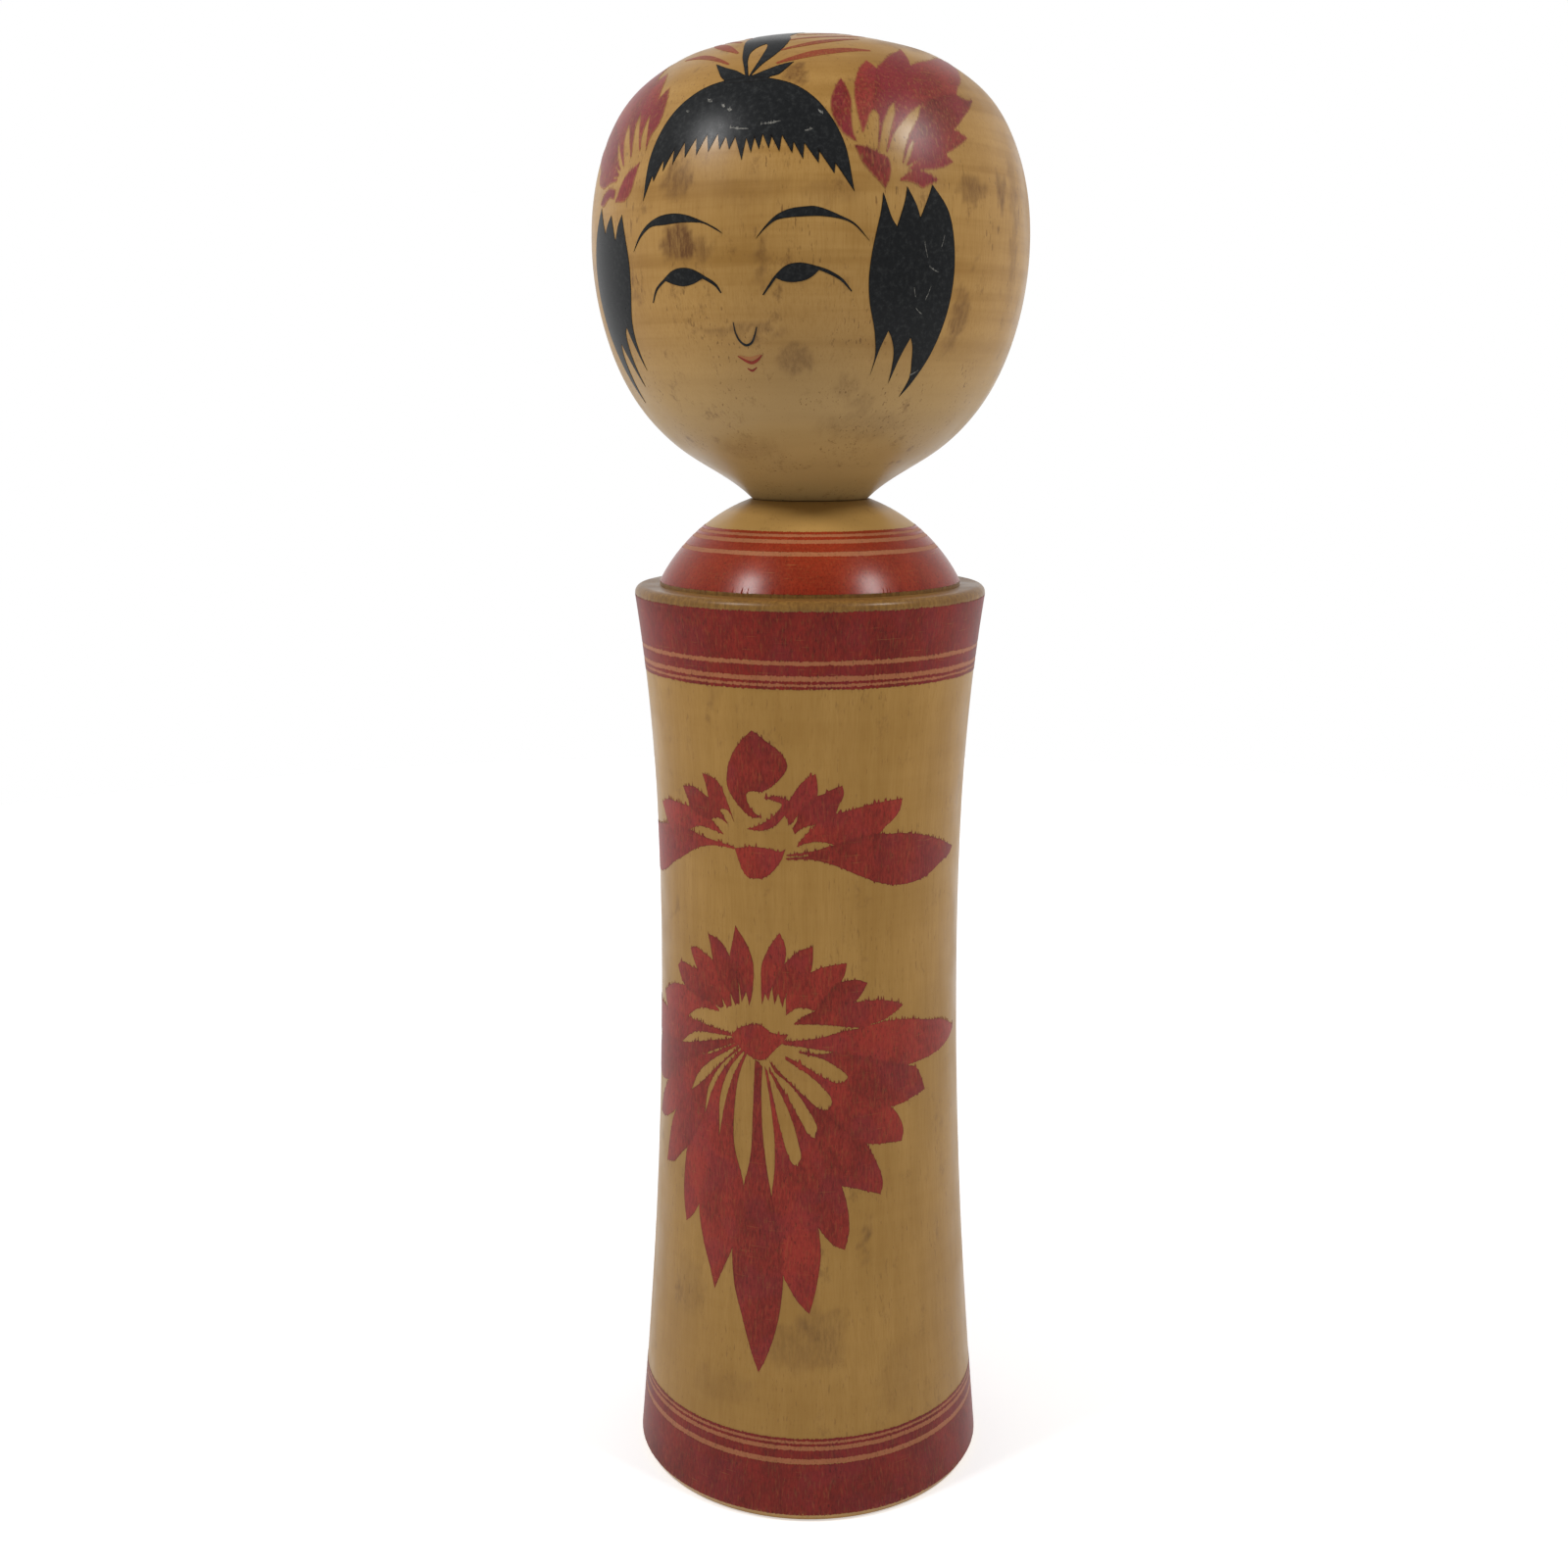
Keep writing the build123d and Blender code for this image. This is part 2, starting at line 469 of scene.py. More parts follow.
def skin(name, chart, uv, lift, cells, flat, layers, tone, rim=False):
    """A thin closed skin of paint over the chart's points uv. cells lists the faces of its top by their
    points, anticlockwise in the chart, and flat gives their corners' places on the flat map. The rest is
    what the materials read: how many layers of paint there are, how dark the stroke is, and whether the
    edge differs."""
    top, normal = chart.place(uv, lift)
    under, _ = chart.place(uv, -PAINT_BELOW)
    if chart.up < 0:
        cells, flat = ([face[::-1] for face in faces] for faces in (cells, flat))
    edges = {}
    for cell, corners in zip(cells, flat):
        for k in range(len(cell)):
            edges[cell[k - 1], cell[k]] = (corners[k - 1], corners[k])
    count = len(uv)
    open_edges = sorted(edge for edge in edges if edge[::-1] not in edges)
    walls = [(j, i, i + count, j + count) for i, j in open_edges]
    wall_flat = [[edges[edge][k] for k in (1, 0, 0, 1)] for edge in open_edges]
    faces = cells + [[k + count for k in cell[::-1]] for cell in cells] + walls
    inner_flat = [corners[::-1] for corners in flat]
    uvs = [place for corners in flat + inner_flat + wall_flat for place in corners]
    signs = [1] * len(cells) + [-1] * len(cells) + [1] * len(walls)
    both = np.vstack([normal, normal])
    loop_normals = [both[k] * sign for face, sign in zip(faces, signs) for k in face]
    piece = make_mesh(name, np.vstack([top, under]), faces, loop_normals, uvs)
    on_edge = np.zeros(count)
    on_edge[[i for i, _ in open_edges]] = float(rim)
    # Stains, and the painted shade on the lower head, for the wood under the paint.
    wear = stain_and_shade(chart.home(uv), chart.surface.node)
    for label, values in (("layers", layers), ("tone", tone), ("rim", on_edge), ("stain_and_shade", wear)):
        give(piece, label, np.concatenate([values, values]))
    return piece


def coat(name, chart, outlines, lift, rim=0.0):
    """A skin of paint with these outlines. Where outlines overlap, the paint counts as two layers.
    rim is how wide the different edge is that the paint dries with."""
    points, faces = [], []
    outlines = [outline if signed_area(outline) > 0 else outline[::-1] for outline in outlines]
    for outline in outlines:
        faces.append(list(range(len(points), len(points) + len(outline))))
        points += [tuple(p) for p in outline]
    if rim:
        points += [tuple(p) for outline in outlines for p in (outline - outward_of(outline) * rim)[::2]]
    points += filling(np.min(points, axis=0), np.max(points, axis=0))
    points = [Vector(p) for p in points]
    found, _, triangles, _, _, layers_of = delaunay_2d_cdt(points, [], faces, 0, 1e-4, True)
    painted = [(triangle, owners) for triangle, owners in zip(triangles, layers_of) if owners]
    used = sorted({k for triangle, _ in painted for k in triangle})
    where = {k: i for i, k in enumerate(used)}
    uv = np.array([found[k][:] for k in used])
    cells, sums = [], np.zeros((len(used), 3))
    for triangle, owners in painted:
        cells.append([where[k] for k in triangle])
        sums[cells[-1]] += (len(owners), stroke_tone(owners[-1]), 1)
    layers, tone = (sums[:, :2] / sums[:, 2:]).T
    span = (uv - uv.min(0)) / (uv.max(0) - uv.min(0)) * 0.98 + 0.01
    flat = [[span[k] for k in cell] for cell in cells]
    return skin(name, chart, uv, lift, cells, flat, layers, tone, bool(rim))


def filling(low, high):
    """Points FILL_STEP apart between two corners, with every other column shifted by half a step."""
    points = []
    for i, u in enumerate(np.arange(low[0] + FILL_STEP / 2, high[0], FILL_STEP)):
        first = low[1] + FILL_STEP * (0.3 + 0.5 * (i % 2))
        points += [(u, v) for v in np.arange(first, high[1], FILL_STEP)]
    return points


def stroke_tone(k):
    """How dark the k-th stroke of a coat is, from 0 to 1: neighbours differ."""
    return k * 0.618 % 1


def bands(name, heights, raggedness, seed, lift=DYE_LIFT):
    """Dyed bands round the body as one skin. heights lists (lower edge, upper edge) of each band."""
    uv, cells, flat = [], [], []
    total = sum(high - low for low, high in heights)
    filled = 0.0
    for number, (low, high) in enumerate(heights):
        shares = np.linspace(0, 1, max(2, math.ceil((high - low) / BAND_ROW)) + 1)
        up_the_map = (filled + (high - low) * shares) / total
        for i, share in enumerate(shares):
            for k in range(BAND_SEGMENTS):
                turn = math.remainder(2 * math.pi * k / BAND_SEGMENTS, 2 * math.pi)
                edge = raggedness * edge_noise(turn, number * 7 + seed, share) * abs(2 * share - 1) ** 8
                if i > 0:
                    here, beside = len(uv), len(uv) - k + (k + 1) % BAND_SEGMENTS
                    cells.append([here - BAND_SEGMENTS, beside - BAND_SEGMENTS, beside, here])
                    left, right = k / BAND_SEGMENTS, (k + 1) / BAND_SEGMENTS
                    below, above = up_the_map[i - 1], up_the_map[i]
                    flat.append([(left, below), (right, below), (right, above), (left, above)])
                uv.append((turn * BODY_CHART_RADIUS, low + (high - low) * share + edge))
        filled += high - low
    return skin(name, BODY_CHART, np.array(uv), lift, cells, flat, np.ones(len(uv)), np.full(len(uv), 0.5))


def edge_noise(turn, seed, share):
    """A ragged edge's height at an angle, the same after a full turn."""
    fine = Vector((math.cos(turn) * FINE_EDGE, math.sin(turn) * FINE_EDGE, seed + 20 * round(share)))
    wide = Vector((math.cos(turn) * WIDE_EDGE, math.sin(turn) * WIDE_EDGE, seed + 40 * round(share)))
    return 1.25 * noise.noise(fine) + 0.3 * noise.noise(wide)


# ---------------------------------------------------------------- the flowers on the body

LOWER_PETALS = [
    ([], (4, 128.4), [(5.3, 125)], [(0.9, 115.3)]),
    ([(8, 124.6)], (10.9, 125.6), [(10.9, 123)], [(3.7, 115.6)]),
    ([(14, 121.4)], (18, 121.9), [(17.5, 119.5)], []),
    ([(20.5, 118.1)], (22.5, 117.3), [(21.5, 115.5)], []),
    ([(25, 113.3), (29, 112.4)], (31.3, 111.3), [(29.5, 110.3), (26.5, 109)], []),
    ([(27, 108.5), (33, 107.8), (40, 106), (45, 104.6)], (51.8, 101.2),
     [(50, 100), (45, 98.7), (38, 98.1)], []),
    ([(35, 96.8), (37, 93.5)], (37.8, 91.3), [(34, 90.6), (30.5, 89.9)], []),
    ([(30, 87.5), (31.3, 84)], (30.8, 81.7), [(28, 82), (24, 82.4)], []),
    ([(24.5, 78.5), (26, 73.5)], (25.4, 71.2), [(22, 72.5), (18.5, 73.8)], []),
    ([(18.3, 68), (18.4, 64)], (17.5, 60.1), [(15, 61.5), (13, 64)], []),
    ([(12.6, 60), (12, 54), (11, 49)], (10.3, 46.4), [(8, 49), (6, 52.5)], []),
    ([(4.8, 50), (3.8, 43), (1.8, 36)], (0.3, 32.5), [(-1.5, 37.5), (-3.5, 44.5), (-5.3, 51)], []),
    ([(-8.2, 53.5)], (-10, 48.8), [(-11.3, 53), (-13.5, 59)], []),
    ([(-16.5, 63.5)], (-18.8, 61.1), [(-19.9, 66), (-20, 72)], []),
    ([(-21, 76), (-24.5, 72.6)], (-28.2, 71.3), [(-27.3, 76), (-25.5, 82)], []),
    ([(-30, 80.8)], (-34.5, 80.3), [(-32.5, 84.5)], []),
    ([(-35, 88.6)], (-41, 90), [(-38.5, 94.5)], []),
    ([(-41, 98.2), (-48, 99)], (-54, 101.2), [(-46, 103.8), (-38, 105)], []),
    ([(-30, 106.3)], (-31.5, 108.8), [(-26, 112)], []),
    ([(-22.5, 115)], (-23.6, 116.8), [(-22, 118), (-19, 117.9)], []),
    ([(-17.5, 119.8)], (-18.5, 121.8), [(-17, 122.4), (-14, 121.6)], []),
    ([(-12.3, 124)], (-12.9, 126.1), [(-9.5, 125)], []),
    ([(-6.6, 125)], (-5.8, 128.9), [], [(-3.4, 115.2)]),
]
LOWER_GAPS = [
    ([], None, [(0.2, 113), (0, 117), (0.2, 121.5), (2, 125.5)], None),
    ([(1.6, 113.8)], (2.5, 117), [(2.9, 113.2)], (5, 121.8)),
    ([(4.6, 112.6)], (5.6, 115.9), [(5.3, 111)], (10.4, 120.2)),
    ([(5.3, 111), (7.5, 112.6), (9.5, 112.7)], (11.5, 112.2), [(7, 109.3), (9, 110.9)], (16.5, 117.8)),
    ([(7, 109.3)], (10, 110.4), [(7, 109.2)], (19.5, 113.4)),
    ([(7, 109.2), (12, 109.2), (17, 108.6)], (21, 107.9), [(4.5, 105.3), (12, 106.2), (17, 107.4)],
     (22.5, 108.2)),
    ([(4.5, 104.9), (10, 104.2)], (16, 103), [(8, 103.4), (12, 102.8)], (31, 98.2)),
    ([(8, 103.2), (13, 101.8), (16.9, 99.2), (18.2, 97.6)], (17.4, 96.4),
     [(5.2, 102.3), (9, 100.4), (13, 97.8), (15.8, 96.5)], (27.8, 90)),
    ([(5.2, 101.6), (10, 98.5), (13.6, 95), (15, 92.4)], (14.4, 90.6),
     [(1.8, 101), (5, 97.8), (9, 94), (12.6, 90.9)], (22, 83)),
    ([(3, 98.7), (6.4, 96), (9.7, 91.4), (11.8, 87.2)], (11.4, 84.7),
     [(2.6, 98.4), (5.4, 94), (8.6, 88.2), (10.3, 85.2)], (16.9, 74.2)),
    ([(1.7, 99), (3.6, 95.4), (6, 90.3), (7.8, 84.5), (8.5, 80.6)], (7.9, 78.6),
     [(1.4, 98.8), (2.6, 93.5), (4.2, 86.5), (5.7, 81.4), (6.9, 79)], (12, 65.5)),
    ([(0.8, 99.6), (2.2, 91), (3, 84), (3, 77)], (2.5, 71.5),
     [(0.3, 99.6), (0.1, 94), (0.4, 86), (1.2, 79)], (5, 54.7)),
    ([(-1.3, 101), (-1.5, 97), (-1.8, 88), (-2.2, 80)], (-3.7, 73),
     [(-3.2, 102), (-5, 97), (-6, 90), (-6, 82)], (-6, 58.9)),
    ([(-3.6, 102.2), (-6.2, 97), (-8.2, 91)], (-9.9, 82.5), [(-4, 102.4), (-7.3, 98), (-9.6, 91.5)],
     (-14.9, 66.5)),
    ([(-4.4, 102.8), (-9, 97.4), (-11.8, 92.3)], (-14, 86.5), [(-4.7, 103), (-9.6, 98.2), (-12.8, 92.8)],
     (-19.2, 77.6)),
    ([(-5, 103.2), (-10.5, 97.8), (-14, 94.2)], (-18.3, 90.5), [(-5.3, 103.5), (-12, 98.9), (-16, 95)],
     (-24, 84.6)),
    ([(-5.5, 104), (-12, 100.4)], (-16, 98.9), [(-5.6, 104.2), (-12, 101)], (-28.3, 89.8)),
    ([(-7, 104.6), (-14, 102.6), (-19, 101)], (-22.5, 100.2), [(-7, 105.2), (-10, 105), (-17, 104)],
     (-34, 98.2)),
    ([(-7, 105.8), (-14, 106.3)], (-20, 106.5), [(-10, 110), (-15, 109.7), (-18, 108)], (-28.5, 105.9)),
    ([(-10, 110.2)], (-11.5, 111.4), [(-9.6, 110.7)], (-20.6, 113)),
    ([(-8.8, 111.2)], (-9.5, 113.2), [(-8, 111.2)], (-15.7, 117)),
    ([(-6.8, 111.8)], (-7.2, 114.5), [(-6, 112.2)], (-11.5, 120.5)),
    ([(-4.9, 112.6)], (-5.2, 117.3), [(-4.4, 112.8)], (-7.2, 122.2)),
    ([(-2.6, 112.5), (-2, 115), (-1.7, 121), (-3, 125)], None, [], None),
]
LOWER_CUP = (
    [(-7, 105.3), (-5, 107.2), (-2.5, 108.2), (0, 108.4), (2, 107.2), (4, 106.8), (5.8, 106.9)],
    [(4.5, 105), (3, 103.5), (1.5, 101.8), (0.5, 101.2), (-1, 101), (-3.5, 102.2), (-5.5, 103.8),
     (-7, 105.3)],
)
UPPER_RIGHT_PETALS = [
    ([], (11.2, 161.3), [(11.5, 160.3), (11.7, 158.7)], [(5.7, 152.4)]),
    ([(13, 157.3), (14.7, 158.2)], (16.6, 158.8), [(16.9, 157), (16, 155)], []),
    ([(17.7, 153.6), (20.7, 154.3), (24, 154.8), (27.3, 155.1)], (29.9, 155.1),
     [(29.3, 152.8), (27.7, 151), (26, 149.8)], []),
    (
        [(27.3, 148.1), (30, 147.9), (35.3, 146.8), (41.7, 144.7)],
        (48.5, 141.8),
        [(46.7, 140.5), (43.3, 139.8), (37.3, 137.7), (31, 137.1), (25.7, 138), (20.7, 140),
         (15.3, 142.5), (10, 143.9)],
        [(10, 144.5)],
    ),
]
UPPER_RIGHT_GAPS = [
    ([], None, [(5.2, 152.6), (5.6, 155), (6.3, 156.2), (8.3, 159.2), (10, 160.7)], None),
    ([(5.9, 150.8), (6.9, 151.7)], (8, 153.2), [(6.7, 150.2), (7.5, 151.5)], (11.6, 156.8)),
    ([(7.2, 149), (8.7, 150.3)], (11.5, 151.2), [(8.2, 147.5), (9.3, 148.8), (10.7, 150.1)], (15.2, 153)),
    ([(7.6, 146.5), (10, 147.3), (12.3, 147.5)], (15.7, 146.8),
     [(5.5, 144.5), (8.3, 144.9), (11.3, 145.4), (13.3, 146)], (24.5, 148.4)),
    ([(5.5, 143.7)], None, [], None),
]
UPPER_LEFT_PETALS = [
    ([], (-52, 139), [(-44, 142.8), (-36, 144.9), (-28.9, 146.4)], []),
    ([(-27.5, 147.9), (-28.6, 149.4)], (-29.7, 150.8), [(-27.2, 151.9), (-24.8, 152.4), (-21.9, 152.3)],
     []),
    ([(-17.9, 153.8)], (-19.3, 156.2), [(-15.7, 156.6), (-13.6, 155.8)], []),
    ([(-12, 156.4), (-12.6, 158.5)], (-13.1, 159.8),
     [(-10, 159.1), (-8.6, 157.9), (-7.8, 156.4), (-6.5, 153.2)], []),
]
UPPER_LEFT_GAPS = [
    ([], None,
     [(-5.7, 145.1), (-9.5, 145.3), (-14.8, 144.2), (-19.5, 141.7), (-24.2, 139.3), (-29.2, 136.5),
      (-36, 134.9), (-44, 135.6)], None),
    ([(-5.7, 145.5), (-10, 146.1), (-14.2, 146.6)], (-18.1, 147.3),
     [(-8.3, 147.8), (-11.6, 148.6), (-15, 148.6)], (-25.9, 146.9)),
    ([(-8.3, 147.9), (-9.8, 149.3)], (-11.4, 150.5), [(-7.2, 150.1), (-8.6, 151), (-10.2, 151.1)],
     (-17.2, 152.2)),
    ([(-7.2, 150.3), (-8.6, 152.2)], (-9.3, 153), [(-5.7, 150.8), (-6.6, 152.6), (-7.6, 153.1)],
     (-11.7, 154.9)),
    ([(-5.6, 150.7)], None, [], None),
]
BUD = (
    [(-1.2, 169.8), (-2.8, 168.2), (-5.4, 164.9), (-6.7, 161.5), (-7, 158.5), (-6.4, 156.7),
     (-3.4, 153.2), (-1.3, 152), (0.5, 152.2)],
    [(-1, 152.9), (-2.5, 155), (-2.6, 156.9), (-1.6, 157.4), (0.4, 157.4)],
    [(2, 158.2), (4.7, 160.7), (5.8, 163), (4.3, 165.7), (1.3, 168), (-1.2, 169.8)],
)
HOOK = (
    [(1, 156.2), (3.7, 156.6), (5.8, 155.8), (6.6, 154.5)],
    [(5.2, 152.8), (3.3, 150.7), (0.5, 149.5), (-2.8, 149.5)],
    [(-0.7, 150.2), (2.3, 152), (4.1, 154), (4.6, 155), (3.3, 155.7), (1, 156.2)],
)
UPPER_CUP = (
    [(-5.6, 145.2), (-3.6, 145.6), (-1.3, 145.9), (2, 145.7), (4.2, 145.2), (5.3, 145.9)],
    [(4.3, 143.3), (3.2, 141.8), (2, 140.5), (0.7, 139.7), (-1, 139.4), (-2.8, 139.6), (-3.9, 140.8),
     (-4.9, 143.2), (-5.6, 145.2)],
)
UPPER_ROOTS = [  # the thin strokes that a big petal starts with
    ([(5.4, 143.9), (8, 144.05), (11, 144.3), (14, 144.4)], (0.25, 0.4, 0.8, 1.6)),
    ([(5.5, 144.6), (8.3, 144.95), (11.3, 145.4), (14.5, 146.2)], (0.2, 0.35, 0.5, 0.9)),
    ([(-5.6, 145.2), (-8, 145.5), (-11, 145.7), (-14.5, 145.6)], (0.2, 0.5, 0.9, 1.6)),
]


def build_lower_flower():
    petals = fan(LOWER_PETALS, LOWER_GAPS, -OVERLAP)
    outlines = dyed([*petals, loop(*LOWER_CUP, step=BODY_DYE_STEP)], BODY_CHART, BODY_BLEED, 1.7)
    return coat("lower_flower", BODY_CHART, outlines, DYE_LIFT, BODY_DYE_RIM)


def build_upper_flower():
    right = fan(UPPER_RIGHT_PETALS, UPPER_RIGHT_GAPS, -OVERLAP)
    left = fan(UPPER_LEFT_PETALS, UPPER_LEFT_GAPS, -OVERLAP)
    rest = [loop(*shape, step=BODY_DYE_STEP) for shape in (BUD, HOOK, UPPER_CUP)]
    outlines = dyed([*right, *left, *rest], BODY_CHART, BODY_BLEED, 40.3)
    roots = [brush_line(spine, widths) for spine, widths in UPPER_ROOTS]
    return coat("upper_flower", BODY_CHART, [*outlines, *roots], DYE_LIFT, BODY_DYE_RIM)


# ---------------------------------------------------------------- the head's flowers and ribbons

TEMPLE_PETALS = [
    ([], (35.3, 34.8), [(36.6, 35.9)], []),
    ([(40, 35.5), (44, 33), (48, 31.2)], (54.5, 28.7), [(53, 32)], []),
    ([(56, 33.7), (62, 32.4), (68, 31), (75, 29.5)], (86, 29.5),
     [(80, 33), (75, 35.5), (70, 38.2), (66, 40)], []),
    ([(66, 42.8)], (70, 42.6), [(66, 45), (62, 47)], []),
    ([(59.5, 50.3)], (61.5, 51), [(57, 53)], []),
    ([(53.5, 55)], (54.8, 55.9), [(52, 56.9), (48.5, 57.5)], []),
]
TEMPLE_GAPS = [
    ([], None, [(30.2, 51.3), (29.1, 46), (29.2, 43), (30, 40.5), (32, 37.5)], None),
    ([(30.4, 51.5), (31.5, 50), (32.6, 48)], (33.8, 46.8), [(33.9, 54), (34.5, 51), (34.8, 47.8)],
     (37.5, 37.3)),
    ([(34.2, 54.3), (36, 49.5), (38, 46.8)], (39.8, 45.3), [(36, 54.6), (38, 50), (39.6, 47)],
     (50.7, 35.5)),
    ([(36.2, 55), (38.5, 51.5), (42, 48.6), (45, 46.7)], (47.8, 45.5),
     [(40, 56.6), (41, 54), (43, 51), (46, 48)], (63, 42)),
    ([(40.3, 56.8), (42.2, 53.7)], (44, 52.3), [(41, 57), (42.8, 54.4)], (57, 49.7)),
    ([(41.3, 57.2)], (44.5, 56), [(41.6, 57.6)], (52, 54.8)),
    ([(42, 57.9)], None, [], None),
]
TEMPLE_SINGLES = [
    ([(28.8, 53.2), (26, 52), (24, 50), (22.7, 47.5), (22.7, 45), (24, 42.5), (26, 40.2)],
     [(27.3, 42.5), (28.2, 45), (27.9, 48), (28, 51), (28.8, 53.2)]),
    ([(39, 59.8), (42, 58), (45, 57.9), (49.8, 59.3)], [(47, 60.3), (45, 60.9), (43, 60.2), (39, 59.8)]),
    ([(28, 53.7), (31, 54), (34, 55), (36.5, 56), (37, 58), (36.3, 60), (35.4, 61.4)],
     [(33, 59.5), (30, 57), (28, 53.7)]),
]
TEMPLE_LEFT_PETALS = [
    ([], (-37.4, 35), [(-38.6, 36)], []),
    ([(-42, 35.5), (-46, 33), (-50, 31.2)], (-56.5, 28.7), [(-55, 32)], []),
    ([(-58, 33.7), (-64, 32.4), (-70, 31), (-77, 29.5)], (-88, 29.5),
     [(-82, 33), (-77, 35.5), (-72, 38.2), (-68, 40)], []),
    ([(-68, 42.8)], (-72, 42.6), [(-68, 45), (-64, 47)], []),
    ([(-61, 50)], (-63.5, 51), [(-58, 53.5)], []),
    ([(-55, 56)], (-53.5, 57.6), [(-48.5, 58.6), (-44, 58)], []),
]
TEMPLE_LEFT_GAPS = [
    ([], None,
     [(-31.3, 52.6), (-32, 50), (-31.9, 47.5), (-31, 44.8), (-30.6, 42.4), (-31.7, 40.4), (-34, 37.3)],
     None),
    ([(-31.5, 52.8), (-33.6, 49.8), (-35.6, 46.4)], (-36.9, 44.9),
     [(-34.6, 53.6), (-35.6, 50.5), (-36.9, 47.3)], (-39.5, 37.3)),
    ([(-35, 53.8), (-37.3, 51), (-39.6, 48.3)], (-41.6, 46.8), [(-37.6, 55), (-39.4, 52.2), (-41, 49.6)],
     (-52.7, 35.5)),
    ([(-38, 55.2), (-41.5, 52.4)], (-45.3, 49.6), [(-39, 55.9), (-42.2, 53.2)], (-65, 42)),
    ([(-39.2, 56.1)], (-43.4, 54.6), [(-39.5, 56.6)], (-59, 49.7)),
    ([(-39.8, 57)], (-43, 57), [(-40, 57.5)], (-54.5, 55)),
    ([(-40.3, 57.9)], None, [], None),
]
TEMPLE_LEFT_SINGLES = [
    ([(-28.9, 53), (-27.9, 50.2), (-26.2, 48.2), (-25.6, 46), (-26.2, 43.2), (-28.1, 40)],
     [(-30.1, 41.8), (-31.4, 45.2), (-30.2, 49), (-28.9, 53)]),
    ([(-30.3, 55), (-32.4, 55.7), (-35.3, 56.8), (-37.4, 58.4), (-39.9, 61.7)],
     [(-37.4, 61.9), (-34.6, 61.6), (-32.6, 60.2), (-30.3, 55)]),
    ([(-40.4, 59.4), (-44, 58.9), (-47.5, 59.8), (-50, 61.5)],
     [(-47.4, 62), (-43.5, 60.8), (-40.8, 61), (-40.4, 59.4)]),
]
CROWN_RIBBONS = [
    ([(4.3, -35.8), (7.7, -33.3), (10.4, -31.1), (13.2, -28.9), (16, -26.6), (19.5, -24)],
     (0.5, 1.5, 2.1, 2, 1.5, 0.4)),
    ([(3.8, -31), (8, -27.6), (12, -23.6), (15.5, -19)], (0.4, 1.3, 1.4, 0.4)),
    ([(4, -26), (8.5, -22), (12, -17.5), (14.5, -12)], (0.4, 1.3, 1.4, 0.4)),
    ([(3.5, -20), (7.5, -15.5), (10, -9.5), (10.5, -3.5)], (0.4, 1.3, 1.4, 0.4)),
    ([(-5.7, -34.9), (-9, -31.9), (-11.8, -29.3), (-14.3, -27.2), (-18, -24.8)], (0.4, 1, 1.4, 1.3, 0.4)),
    ([(-4.9, -31), (-8.5, -26.8), (-11.5, -22.5), (-13.5, -18)], (0.5, 1.9, 1.8, 0.5)),
    ([(-6, -25), (-9.5, -20.5), (-12, -15), (-13, -9)], (0.4, 1.4, 1.4, 0.4)),
    ([(-5.8, -19), (-8.3, -14), (-9.3, -8), (-8.8, -2)], (0.4, 1.3, 1.3, 0.4)),
]


def build_temple_flower(name, petals, gaps, singles, overlap, seed):
    fanned = fan(petals, gaps, overlap, HEAD_DYE_STEP)
    single = [loop(*shape, step=HEAD_DYE_STEP) for shape in singles]
    outlines = dyed([*fanned, *single], HEAD_CHART, HEAD_BLEED, seed)
    return coat(name, HEAD_CHART, outlines, DYE_LIFT, HEAD_DYE_RIM)


def build_ribbons():
    lines = [brush_line(spine, widths) for spine, widths in CROWN_RIBBONS]
    return coat("crown_ribbons", CROWN_CHART, lines, DYE_LIFT)


# ---------------------------------------------------------------- hair

FRINGE_TOP = [
    (-27.4, 62.3), (-26.2, 53.5), (-22, 46.5), (-15, 42), (-8, 40.2), (0, 39.7), (5.5, 40.1),
    (14, 42.2), (20.5, 46.3), (25.5, 53), (27.8, 62),
]
FRINGE_TEETH = [  # the cut edge from right to left: a notch, then the tip left of it
    ((23.4, 57.1), (23.1, 58.9)), ((19.6, 55), (19.4, 57.1)), ((16, 53.5), (15.7, 56.4)),
    ((13.4, 53.3), (13.1, 55.3)), ((10.5, 52), (10, 55)), ((8, 52.2), (7.4, 54.4)),
    ((5.7, 51.7), (5, 54.5)), ((3.7, 52.3), (3, 55)), ((1.6, 52.3), (0.8, 56.3)),
    ((-1.3, 52), (-2.6, 54.3)), ((-3.8, 51.8), (-5.2, 54.2)), ((-6.1, 51.2), (-8.2, 54.5)),
    ((-9.1, 51.2), (-11.5, 54.9)), ((-12.1, 51.7), (-14.8, 55.2)), ((-15.4, 52.3), (-18.4, 56.3)),
    ((-18.4, 53.5), (-21.3, 57.3)), ((-21.5, 55.3), (-24.2, 59)), ((-24.7, 57.9), (-27.4, 62.3)),
]
